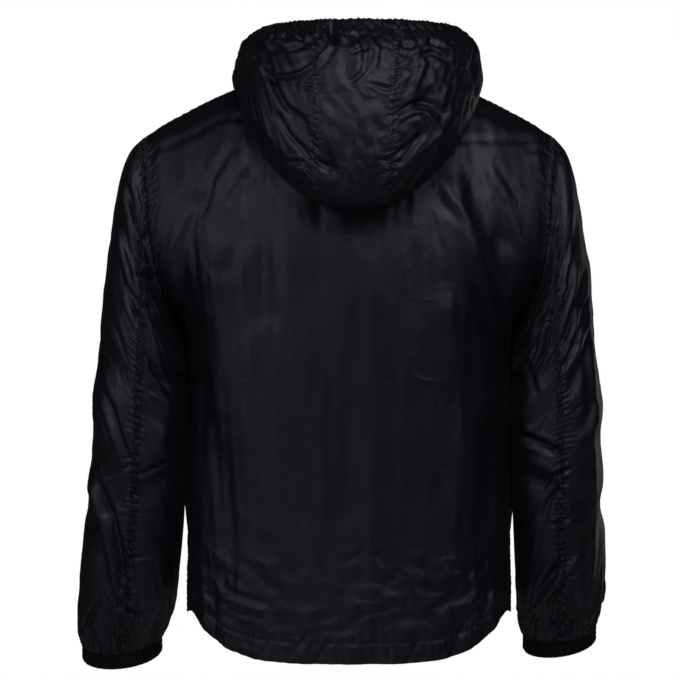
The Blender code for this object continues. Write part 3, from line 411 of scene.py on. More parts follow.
@dataclass
class Cloth:
    """A sheet of cloth as a grid of points: rows run up the piece and columns across it.

    Attributes:
        points: The grid, as rows x columns x 3.
        outward: 1 where across x up points out of the jacket, and -1 where it points in.
        middle: The column that widths of the flat cloth are measured from.
        extra_across: How much longer than the form the cloth is across, as a share.
        extra_up: The same up the cloth.
        hold: How firmly each point is held to its place, from 0 to 1.
        firm: Points that don't move at all, where the piece is sewn.
        cut: Where each point lies on the flat cloth, once it is relaxed.
    """

    points: Array
    outward: int
    middle: int = 0
    extra_across: Array = field(init=False)
    extra_up: Array = field(init=False)
    hold: Array = field(init=False)
    firm: Array = field(init=False)
    cut: Array = field(init=False)

    def __post_init__(self) -> None:
        """Starts with cloth that fits its form exactly."""
        shape = self.points.shape[:2]
        self.extra_across, self.extra_up = np.zeros(shape), np.zeros(shape)
        self.hold, self.firm = np.full(shape, 0.002), np.zeros(shape, bool)

    def lengths(self) -> tuple[Array, Array]:
        """Measures the flat cloth, with the extra cloth in it.

        Returns:
            The lengths of its steps across and up.
        """
        across = norm(np.diff(self.points, axis=1), axis=2)
        up = norm(np.diff(self.points, axis=0), axis=2)
        extra_across = (self.extra_across[:, 1:] + self.extra_across[:, :-1]) / 2
        extra_up = (self.extra_up[1:] + self.extra_up[:-1]) / 2
        return across * (1 + extra_across), up * (1 + extra_up)

    def flat(self) -> Array:
        """Lays the cloth out flat.

        Returns:
            Where each point lies, as (across, up), from its middle column and first row.
        """
        across, up = self.lengths()
        places = np.zeros((*self.points.shape[:2], 2))
        places[:, 1:, 0], places[1:, :, 1] = np.cumsum(across, axis=1), np.cumsum(up, axis=0)
        places[..., 0] -= places[:, self.middle : self.middle + 1, 0]
        return places

    def normals(self) -> Array:
        """The directions out of the jacket."""
        across, up = np.gradient(self.points, axis=1), np.gradient(self.points, axis=0)
        return unit(np.cross(across, up)) * self.outward

    def raise_by(self, heights: Array) -> None:
        """Moves each point out by a height."""
        self.points = self.points + self.normals() * heights[..., None]

    def facing(self, viewpoint: Viewpoint) -> Array:
        """How much each place faces a viewer: 0 beyond the outline and 1 well inside it."""
        return ease(self.normals()[..., 1] * np.sign(viewpoint.y), 0.10, 0.45)

    def relax(self, ripples: Array, rounds: int, stiffness: float, most: float) -> None:
        """Lets the extra cloth buckle into wrinkles, held to the designed form.

        Args:
            ripples: Heights that the wrinkles start from.
            rounds: How many rounds the cloth has to find its shape.
            stiffness: How strongly the cloth stays smooth.
            most: The furthest that a point may end up from the designed form.
        """
        self.cut = self.flat()
        across, up = (rest.astype(np.float32) for rest in self.lengths())
        form = self.points.astype(np.float32)
        slants = []
        for a, b in ((form[:-1, :-1], form[1:, 1:]), (form[:-1, 1:], form[1:, :-1])):
            extra = (self.extra_across[:-1, :-1] + self.extra_up[:-1, :-1]) / 2
            slants.append((norm(b - a, axis=2) * (1 + extra)).astype(np.float32))
        moved = form + (self.normals() * ripples[..., None]).astype(np.float32)
        hold = self.hold[..., None].astype(np.float32)
        for _ in range(rounds):
            for s in (0, 1):
                even_out(moved[:, s:-1:2], moved[:, s + 1 :: 2], across[:, s::2], 1.0)
                even_out(moved[s:-1:2], moved[s + 1 :: 2], up[s::2], 1.0)
                even_out(moved[s:-1:2, :-1], moved[s + 1 :: 2, 1:], slants[0][s::2], SLANT_FIRMNESS)
                even_out(moved[s:-1:2, 1:], moved[s + 1 :: 2, :-1], slants[1][s::2], SLANT_FIRMNESS)
            away = moved - form
            moved -= hold * away + stiffness * bend(bend(away))
            moved[self.firm] = form[self.firm]
        away = (moved - form).astype(float)
        reach = norm(away, axis=2, keepdims=True)
        self.points = self.points + away * (most * np.tanh(reach / most) / np.maximum(reach, 1e-9))

    def cut_out(
        self, name: str, edges: tuple["Edge", ...], columns: slice = slice(None), **sizes: float
    ) -> "Piece":
        """Cuts a piece from the sheet.

        Args:
            name: The name of the piece.
            edges: How its edges end.
            columns: The columns of the sheet that it takes.
            sizes: Other sizes of the piece.

        Returns:
            The piece.
        """
        grid = np.concatenate([self.points, self.cut, self.normals()], axis=-1)
        return Piece(name, grid[:, columns], self.outward, edges, **sizes)


PLACE, FLAT, OUT = slice(0, 3), slice(3, 5), slice(5, 8)  # what a piece's grid holds at each point


class Edge(Enum):
    """How an edge of a cut piece ends."""

    SEWN = "turned in along a seam"
    HEMMED = "folded to the inside as a deep hem"
    FACED = "folded to the inside a narrow way"
    OPEN = "left as it is, inside another piece"


def face_edge(grid: Array, edge: int, back: bool = False) -> Array:
    """Turns a grid so that one of its edges is the first column, or turns it back.

    Args:
        grid: The grid.
        edge: 0 for the first column, 1 the last column, 2 the first row, 3 the last row.
        back: Whether to turn it back.

    Returns:
        A view of the grid.
    """
    if edge < 2:
        return grid[:, ::-1] if edge else grid
    if back:
        swapped = np.swapaxes(grid, 0, 1)
        return swapped[::-1] if edge == 3 else swapped
    return np.swapaxes(grid[::-1] if edge == 3 else grid, 0, 1)


@dataclass
class Piece:
    """One cut piece of cloth, with its edges finished as a maker would.

    Attributes:
        name: The name of its object.
        grid: At each point its place, where it lies on the flat cloth, and the way out.
        outward: As for the cloth that it is cut from.
        edges: How its first and last column, and its first and last row, end.
        hem: The depth of a hem or casing.
        facing: The depth of a narrow fold.
        allowance: How deep the seam allowances reach into the jacket.
        groove: How far the cloth sinks into a seam.
        layer: The gap between the layers of a hem.
        closed: Whether its last column meets its first.
        puckered: How far from a seam the cloth is finely puckered.
        puckering: How strongly it is puckered there.
        seam: The seam allowance of the flat cut.
    """

    name: str
    grid: Array
    outward: int
    edges: tuple[Edge, Edge, Edge, Edge]
    hem: float = 0.024
    facing: float = 0.009
    allowance: float = 0.005
    groove: float = 0.0004
    layer: float = 0.0006
    closed: bool = False
    puckered: float = 0.007
    puckering: float = 1.0
    seam: float = 0.008

    def cut_size(self) -> tuple[tuple[float, float], float]:
        """Measures the piece before it is sewn, with its allowances and hems.

        Returns:
            Its width and length, and its area.
        """
        u, v = np.moveaxis(self.grid[..., FLAT], -1, 0)
        area = float(((u[1:, 1:] - u[1:, :-1]) * (v[1:, 1:] - v[:-1, 1:])).sum())
        widths, lengths = u[:, -1] - u[:, 0], v[-1] - v[0]
        depths = {Edge.SEWN: self.seam, Edge.HEMMED: self.hem, Edge.FACED: self.facing, Edge.OPEN: 0.0}
        columns, rows = (sum(map(depths.get, pair)) for pair in (self.edges[:2], self.edges[2:]))
        width, length = float(widths.max() + columns), float(lengths.max() + rows)
        area += float(columns * lengths.mean() + rows * widths.mean())
        return (width, length), min(area, width * length)

    def line(self, edge: int, distance: float, lift: float = 0.0001) -> Array:
        """Points on the face of the piece, beside one of its edges.

        Args:
            edge: As for face_edge.
            distance: How far the line is from the edge.
            lift: How far it lies above the cloth.

        Returns:
            The points, from one end of the edge to the other.
        """
        grid = face_edge(self.grid, edge)
        away = norm(grid[..., FLAT] - grid[:, :1, FLAT], axis=-1)
        rows = zip(away, grid)
        found = [[np.interp(distance, apart, part) for part in cells.T] for apart, cells in rows]
        found = np.array(found)
        return found[:, PLACE] + unit(found[:, OUT]) * lift

    def sink_seams(self) -> None:
        """Adds fine columns or rows beside each seam, and sinks the cloth into it."""
        near = np.array((0.0, 0.0005, 0.0011, 0.0019))
        for edge, kind in enumerate(self.edges):
            if kind is Edge.SEWN:
                grid = face_edge(self.grid, edge)
                step = norm(grid[:, 1, PLACE] - grid[:, 0, PLACE], axis=1).mean()
                shares = np.minimum(near / step, 0.97)[None, :, None]
                new = grid[:, :1] + (grid[:, 1:2] - grid[:, :1]) * shares
                new[..., PLACE] -= new[..., OUT] * (self.groove * np.exp(-near / 0.0009))[None, :, None]
                self.grid = face_edge(np.concatenate([new, grid[:, 1:]], axis=1), edge, back=True)

    def turn_edges(self) -> None:
        """Adds the seam allowances and the turned hems on the inside."""
        for edge, kind in enumerate(self.edges):
            if kind is Edge.OPEN:
                continue
            grid = face_edge(self.grid, edge)
            first, out = grid[:, :1], grid[:, :1, OUT]
            off = unit(first[..., PLACE] - grid[:, 1:2, PLACE])
            if kind is Edge.SEWN:
                depths = self.allowance * np.array((1.0, 0.5, 0.15))
                lip = np.repeat(first, 3, axis=1)
                lip[..., PLACE] -= out * depths[None, :, None] + off * 0.00015
            else:
                reach = self.hem if kind is Edge.HEMMED else self.facing
                steps = norm(np.diff(grid[..., PLACE], axis=1), axis=2).mean(axis=0)
                count = int(np.searchsorted(np.cumsum(steps), reach)) + 1
                inner = grid[:, count:0:-2].copy()
                inner[..., PLACE] -= inner[..., OUT] * self.layer
                below, fold = first.copy(), first.copy()
                below[..., PLACE] -= out * self.layer
                fold[..., PLACE] += (off - out) * self.layer / 2
                lip = np.concatenate([inner, below, fold], axis=1)
            self.grid = face_edge(np.concatenate([lip, grid], axis=1), edge, back=True)

    def beside_seams(self) -> Array:
        """Finds where the cloth is puckered.

        Returns:
            How near each point is to a seam at the rows' ends, and to one at the columns' ends.
        """
        near = np.zeros((*self.grid.shape[:2], 2))
        for edge, kind in enumerate(self.edges):
            if kind is Edge.SEWN:
                flat = face_edge(self.grid, edge)[..., FLAT]
                apart = norm(flat - flat[:, :1], axis=-1)
                part = face_edge(near[..., edge // 2], edge)
                part[:] = np.maximum(part, self.puckering * bump(apart, self.puckered))
        return near

    def make(self, finish: Material) -> Object:
        """Makes the object of the piece.

        Args:
            finish: Its material.

        Returns:
            The object.
        """
        rows, columns = self.grid.shape[:2]
        index = np.arange(rows * columns).reshape(rows, columns)
        right = np.roll(index, -1, axis=1) if self.closed else index[:, 1:]
        left = index if self.closed else index[:, :-1]
        corners = [left[:-1], right[:-1], right[1:], left[1:]]
        quads = np.stack(corners if self.outward > 0 else corners[::-1], axis=-1)
        flat = self.grid[..., FLAT].reshape(-1, 2)[quads]
        if self.closed:
            across = self.grid[0, :, 3]
            flat[:, -1, 1:3, 0] += across[-1] + across[1] - across[0]
        mesh = bpy.data.meshes.new(self.name)
        mesh.from_pydata(self.grid[..., PLACE].reshape(-1, 3), [], quads.reshape(-1, 4))
        for name, values in (("cloth", flat), ("seams", self.beside_seams().reshape(-1, 2)[quads])):
            mesh.uv_layers.new(name=name)
            mesh.uv_layers[name].data.foreach_set("uv", values.astype(np.float32).ravel())
        mesh.shade_smooth()
        mesh.materials.append(finish)
        mesh.update()
        return link_object(self.name, mesh)

    def dress(
        self, finish: "Finish", node: str, held: str, rests_on: tuple[Object, ...] = ()
    ) -> Object:
        """Finishes the piece and hands it to the frame.

        Args:
            finish: The finish of its cloth.
            node: The solid of the frame that it stands for.
            held: How the cloth is held; not used.
            rests_on: What it lies on; not used.

        Returns:
            Its object.
        """
        size, area = self.cut_size()
        self.sink_seams()
        self.turn_edges()
        made = self.make(finish.material())
        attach(made, "jacket")
        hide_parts(node)
        faces = len(made.data.polygons)
        log.info("%s: %d faces, cut %.3f x %.3f m, %.3f m2", self.name, faces, *size, area)
        return made


# ---- the torso
@dataclass(frozen=True)
class Neckline:
    """The neck seam: 0 degrees is the centre back, 90 the side of the neck, 180 the centre front."""

    half_width: float = 0.088
    side: tuple[float, float] = (0.005, 0.020)  # y and z of its sides
    back: tuple[float, float] = (0.060, 0.008)
    front: tuple[float, float] = (-0.075, -0.070)
    dip_power: float = 1.5

    def at(self, angles_deg: Array) -> Array:
        """Finds points of the seam, on the wearer's left.

        Args:
            angles_deg: Where, in degrees.

        Returns:
            The points.
        """
        turn = np.radians(angles_deg)
        lean, behind = np.abs(np.cos(turn)), np.asarray(angles_deg) <= 90
        centre_y, centre_z = (np.where(behind, *pair) for pair in zip(self.back, self.front))
        y = self.side[0] + (centre_y - self.side[0]) * lean
        z = self.side[1] + (centre_z - self.side[1]) * lean**self.dip_power
        return stack(self.half_width * np.sin(turn), y, z)


@dataclass(frozen=True)
class Armhole:
    """The left armhole seam, from the shoulder point round the back to the armpit and up the front."""

    # angle in degrees, x, y, z
    rows: Table = Table(
        (0, 0.241, -0.005, -0.053),
        (30, 0.241, 0.026, -0.070),
        (60, 0.237, 0.047, -0.110),
        (90, 0.233, 0.056, -0.160),
        (120, 0.225, 0.052, -0.212),
        (150, 0.210, 0.032, -0.254),
        (180, 0.193, 0.000, -0.270),
        (210, 0.200, -0.034, -0.256),
        (240, 0.212, -0.056, -0.216),
        (270, 0.221, -0.061, -0.162),
        (300, 0.229, -0.050, -0.112),
        (330, 0.238, -0.030, -0.071),
        (360, 0.241, -0.005, -0.053),
    )

    def at(self, angles_deg: Array) -> Array:
        """Points of the seam at these angles."""
        return self.rows.at(np.asarray(angles_deg) % 360)


SOFT = {"shoulder": 0.0, "ends": 0.0}  # a broad fold has no ridges beside it and doesn't taper


def fold_heights(folds: tuple[Crease, ...], points: Array) -> Array:
    """Adds up broad folds over a grid.

    Args:
        folds: The folds.
        points: The grid of points.

    Returns:
        How far each point moves out.
    """
    total = np.zeros(points.shape[:-1])
    for each in folds:
        total += each.heights(points[..., (0, 2)].reshape(-1, 2)).reshape(total.shape)
    return total


@dataclass
class Torso:
    """The back and the two fronts, in the form of the torso from hem to shoulder."""

    neckline: Neckline = Neckline()
    armhole: Armhole = Armhole()
    neck_share: float = 5 / 12  # of a panel's top edge, from the centre
    shoulder_arch: float = 0.006
    armpit_rise: float = 0.64
    shoulders_start: float = 0.74
    section_power: float = 2.2
    fullest_across: float = 0.86
    fullness_spread: float = 0.11
    zip_half_opening: float = 0.006
    corner_drop: float = 0.011  # of the hem, where it meets the side seam
    corner_draw: float = 0.0075  # how far the hem is drawn in beside that corner
    fold_depth: float = 1.15  # times the heights of the folds
    hem_wave: float = 0.0010
    stitch_sink: float = 0.0010
    shoulder_fullness: float = 0.0055
    casing: float = 0.024
    height: float = 0.585
    hem_waves: int = 6
    armpit_rounds: int = 700  # of smoothing beside the armpit
    back_seed: int = 11
    front_seed: int = 21
    zip_seed: int = 31
    rows_up: int = 340
    columns: int = 124  # across half of the back
    front_columns: int = 110
    # rise, side x, side z, turn in degrees, back y, back z, front y, front z, fullness of the front
    rows: Table = Table(
        (0.00, 0.1915, -0.601, 90, 0.112, -0.662, -0.112, -0.622, 0.000),
        (0.12, 0.1900, -0.545, 90, 0.117, -0.592, -0.118, -0.560, 0.000),
        (0.30, 0.1895, -0.455, 90, 0.118, -0.480, -0.121, -0.463, 0.012),
        (0.48, 0.1895, -0.365, 90, 0.123, -0.370, -0.127, -0.367, 0.014),
        (0.64, 0.1930, -0.270, 86, 0.128, -0.275, -0.134, -0.280, 0.011),
        (0.72, 0.1930, -0.270, 62, 0.126, -0.215, -0.132, -0.238, 0.002),
        (0.80, 0.1930, -0.270, 48, 0.120, -0.150, -0.125, -0.196, 0.000),
        (0.88, 0.1930, -0.270, 42, 0.109, -0.085, -0.113, -0.150, 0.000),
        (0.94, 0.1930, -0.270, 40, 0.092, -0.035, -0.097, -0.112, 0.000),
        (1.00, 0.1930, -0.270, 40, 0.060, 0.008, -0.075, -0.070, 0.000),
    )
    back_folds: tuple[Crease, ...] = placed(
        (15, -5, 179, -138, 190, -235), (15, -4, 118, -111, 146, -210), (16, -3.5, 99, -139, 94, -260),
        (16, 3.2, 146, -190, 156, -370), (16, -3.2, 172, -281, 162, -380),
        (18, -3.5, 150, -430, 140, -560), (17, -3, -131, -94, -172, -179),
        (16, -2.8, -172, -179, -184, -247), (15, 4, -119, -120, -148, -213),
        (15, -4.5, -148, -213, -180, -321), (18, 3.5, -110, -260, -130, -420),
        (17, -4.5, -165, -400, -160, -560), (24, -2.5, 30, -230, 0, -480),
        **SOFT,
    )
    front_folds: tuple[Crease, ...] = placed(
        (18, -4.5, 150, -130, 120, -260), (18, -4.5, 165, -300, 140, -480),
        (18, 3.5, 120, -280, 100, -500), (18, -3, 70, -220, 60, -520),
        **SOFT,
    )

    def top_edge(self, across: Array, behind: bool) -> Array:
        """Finds the neckline and then the shoulder seam.

        Args:
            across: From the centre (0) to the shoulder point (1).
            behind: Whether it is the back's.

        Returns:
            The points.
        """
        turn = 90 * np.minimum(across / self.neck_share, 1)
        points = self.neckline.at(turn if behind else 180 - turn)
        share = np.maximum((across - self.neck_share) / (1 - self.neck_share), 0)[..., None]
        neck, shoulder = self.neckline.at(np.array(90.0)), self.armhole.at(np.array(0.0))
        seam = neck + (shoulder - neck) * share
        seam[..., 2] += self.shoulder_arch * np.sin(math.pi * share[..., 0])
        return np.where(share > 0, seam, points)

    def section(
        self, across: Array, centre: Array, side: Array, turn_deg: Array, fullness: Array
    ) -> Array:
        """Points of level sections.

        Args:
            across: From the centre (0) round to the side (1).
            centre: The middle of each section.
            side: The side of each section.
            turn_deg: How far round each section goes.
            fullness: How far it is pushed out in front of the side seam.

        Returns:
            The points, one row for each section.
        """
        full = np.radians(turn_deg)
        angle = across * full
        power = 1 - (1 - 2 / self.section_power) * ease(turn_deg, 40, 60)
        sideways = (np.sin(angle) / np.sin(full)) ** power
        onward = (np.maximum(np.cos(angle) - np.cos(full), 0) / (1 - np.cos(full))) ** power
        dip = np.where(turn_deg > 80, ease(onward, 0.15, 1.0), onward)
        bulge = fullness * bump(across - self.fullest_across, self.fullness_spread)
        bulge = bulge * fade(across, 0.93, 1)
        x = centre[..., 0] + (side[..., 0] - centre[..., 0]) * sideways + bulge
        y = side[..., 1] + (centre[..., 1] - side[..., 1]) * onward
        return stack(x, y, side[..., 2] + (centre[..., 2] - side[..., 2]) * dip)

    def form(self, across: Array, rises: Array, behind: bool, centre_x: float = 0.0) -> Array:
        """The smooth form of half of the back, or of a front, on the wearer's left.

        Args:
            across: From the centre (0) to the side (1).
            rises: From the hem (0) to the shoulder (1).
            behind: Whether it is the back.
            centre_x: Where the piece starts beside the centre.

        Returns:
            A grid of points.
        """
        side_x, side_z, turn_deg, *centres = np.moveaxis(self.rows.at(rises)[:, None, :], -1, 0)
        centre_y, centre_z = centres[:2] if behind else centres[2:4]
        fullness = np.zeros_like(side_x) if behind else centres[4]
        centre = stack(np.full_like(centre_y, centre_x), centre_y, centre_z)
        side = stack(side_x, np.zeros_like(side_x), side_z)
        climb = 180 * (1 - (rises - self.armpit_rise) / (1 - self.armpit_rise))
        seam = self.armhole.at(np.clip(climb if behind else 360 - climb, 0, 359.999))[:, None, :]
        side = np.where((rises > self.armpit_rise)[:, None, None], seam, side)
        across = across[None, :]
        points = self.section(across, centre, side, turn_deg, fullness)
        top = (rises - self.shoulders_start) / (1 - self.shoulders_start)
        quarter = np.maximum(top, 0) * math.pi / 2
        target = self.top_edge(across, behind)
        top_centre = self.top_edge(np.zeros((1, 1)), behind)
        top_centre[..., 0] = centre_x
        plain = self.section(across, top_centre, self.top_edge(np.ones((1, 1)), behind), turn_deg, 0.0)
        target[..., 0] = np.maximum(target[..., 0], centre_x)
        weight = stack(ease(top, 0, 1), 1 - np.cos(quarter), np.sin(quarter))
        points = points + weight[:, None, :] * (target - plain)
        softened = points.copy()
        for _ in range(self.armpit_rounds):
            softened[1:-1] = (softened[:-2] + 2 * softened[1:-1] + softened[2:]) / 4
        share = bump(rises - self.armpit_rise, 0.075)[:, None] * fade(across, 0.84, 0.985)
        points = points + share[..., None] * (softened - points)
        corner = ease(across, 0.90, 0.97) * fade(rises, 0.0, 0.07)[:, None]
        points[..., 2] -= self.corner_drop * corner
        return points

    def heights(self, cloth: Cloth, across: Array, rises: Array, folds: tuple[Crease, ...]) -> Array:
        """Adds up the broad folds, the hem's waves and stitches, and the shoulders' fullness.

        Args:
            cloth: The panel.
            across: Where each column is, 0 in the centre and 1 or -1 at a side.
            rises: How far up each row is.
            folds: The broad folds of this side.

        Returns:
            How far each point moves out.
        """
        rise, side = rises[:, None], np.abs(across)[None, :]
        draped = self.fold_depth * fold_heights(folds, cloth.points) * fade(rise, 0.84, 0.94)
        casings = rise * self.height / self.casing
        waves = self.hem_wave * np.cos(2 * math.pi * self.hem_waves * across[None, :])
        hem = fade(casings, 0.9, 2.8) * waves - self.stitch_sink * bump(casings - 1, 0.12)
        below_seam = (1 - rise) / 0.045
        full = ease(side, self.neck_share - 0.10, self.neck_share + 0.15)
        full = self.shoulder_fullness * full * below_seam * np.exp(1 - below_seam)
        drawn_in = self.corner_draw * bump(rise, 0.028) * bump(side - 0.89, 0.06)
        return (draped + hem + full) * fade(side, 0.90, 1.0) - drawn_in

    def slacken(self, cloth: Cloth, side: Array, rises: Array, seed: int) -> Array:
        """Gives a panel its extra cloth, more of it along seams and at the elastic.

        Args:
            cloth: The panel.
            side: How far each column is from the centre (0) to the side (1).
            rises: How far up each row is.
            seed: Picks its ripples.

        Returns:
            The heights that its wrinkles start from.
        """
        ripples = Ripples(seed, cloth.flat())
        rise, side = rises[:, None], side[None, :]
        casings = rise * self.height / self.casing
        seam = fade((1 - side) * 0.24, 0.0, 0.022)
        along_armhole = seam * ease(rise, 0.60, 0.68)
        along_side = seam * fade(rise, 0.60, 0.68)
        along_top = fade((1 - rise) * 0.60, 0.0, 0.020)
        hem, low = fade(casings, 0.9, 2.6), fade(casings, 2.0, 6.5)
        stitched = bump(casings - 1, 0.35)
        level = 1 - 0.6 * ease(side, 0.55, 0.85)
        cloth.raise_by(0.0030 * level * low * (1 - hem) * (1 - seam) * ripples.over(0.060, 0.042))
        cloth.raise_by(0.0016 * ((1 - low) * (1 - seam) * (1 - along_top)) * ripples.over(0.060, 0.280))
        patches = 0.5 + 0.5 * ripples.over(0.16, 0.13)
        cloth.extra_across = 0.003 + 0.004 * patches + 0.010 * low + 0.014 * hem + 0.045 * along_top
        cloth.extra_across += 0.015 * stitched
        cloth.extra_up = 0.002 + 0.004 * patches + 0.012 * low
        cloth.extra_up = cloth.extra_up + 0.120 * along_armhole + 0.035 * along_side
        cloth.hold = 0.0012 + 0.008 * seam + 0.010 * along_top + 0.003 * hem + 0.006 * stitched
        broad = 0.0015 * level * (1 - low) * ripples.over(0.042, 0.260)
        broad += 0.0009 * level * (1 - 0.5 * low) * ripples.over(0.018, 0.110)
        broad += 0.0019 * level * low * ripples.over(0.034, 0.022)
        gathers = 0.0006 * hem * ripples.over(0.018, 0.030)
        gathers += 0.0003 * stitched * ripples.over(0.0085, 0.020)
        seams = 0.0011 * (along_armhole + 0.4 * along_side) * ripples.over(0.050, 0.0088)
        return broad + gathers + seams + 0.0006 * along_top * ripples.over(0.0085, 0.040)

    def back(self) -> Cloth:
        """Makes the back, from the wearer's right side to the left.

        Returns:
            Its sheet of cloth.
        """
        across = np.linspace(-1, 1, 2 * self.columns + 1)
        rises = np.linspace(0, 1, self.rows_up + 1)
        half = self.form(np.linspace(0, 1, self.columns + 1), rises, True)
        form = np.concatenate([half[:, :0:-1] * (-1, 1, 1), half], axis=1)
        cloth = Cloth(form, -1, middle=self.columns)
        soft = tuple(each.softened(1.45, 0.75, 0.55) for each in BACK_CREASES)
        creases = crease_heights(soft, cloth.points, BEHIND) * cloth.facing(BEHIND)
        creases *= fade(np.abs(across), 0.965, 1.0) * ease(1 - rises, 0.0, 0.025)[:, None]
        cloth.raise_by(self.heights(cloth, across, rises, self.back_folds) + creases)
        ripples = self.slacken(cloth, np.abs(across), rises, self.back_seed)
        cloth.firm[:, (0, -1)] = cloth.firm[-1] = True
        cloth.relax(ripples, ROUNDS, stiffness=0.0022, most=0.0045)
        return cloth

    def front(self, side: int) -> Cloth:
        """Makes a front, from the zip to the side seam.

        Args:
            side: 1 on the wearer's left and -1 on the right.

        Returns:
            Its sheet of cloth.
        """
        across = np.linspace(0, 1, self.front_columns + 1)
        rises = np.linspace(0, 1, self.rows_up + 1)
        form = self.form(across, rises, False, self.zip_half_opening)
        cloth = Cloth(form * (side, 1, 1), side)
        mirrored = Cloth(form, 1)
        zip_fade = ease(form[:1, :, 0], 0.02, 0.05)
        creases = crease_heights(FRONT_CREASES, cloth.points, IN_FRONT) * cloth.facing(IN_FRONT)
        creases *= fade(across, 0.965, 1.0) * ease(form[:1, :, 0], 0.008, 0.022)
        creases *= ease(1 - rises, 0.0, 0.025)[:, None]
        cloth.raise_by(self.heights(mirrored, across, rises, self.front_folds) * zip_fade + creases)
        ripples = self.slacken(cloth, across, rises, self.front_seed + side)
        along_zip = fade(form[:1, :, 0] - self.zip_half_opening, 0.0, 0.018)
        ripples += 0.0005 * along_zip * Ripples(self.zip_seed + side, cloth.flat()).over(0.05, 0.010)
        cloth.extra_up += 0.030 * along_zip
        cloth.hold += 0.010 * along_zip
        cloth.firm[:, (0, -1)] = cloth.firm[-1] = True
        cloth.relax(ripples, ROUNDS, stiffness=0.0022, most=0.0045)
        return cloth


# ---- the sleeves
class Side(Enum):
    """A side of the wearer, with the sign of its X."""

    LEFT = 1
    RIGHT = -1

    @property
    def word(self) -> str:
        """The word that ends the names of this side's pieces."""
        return self.name.lower()


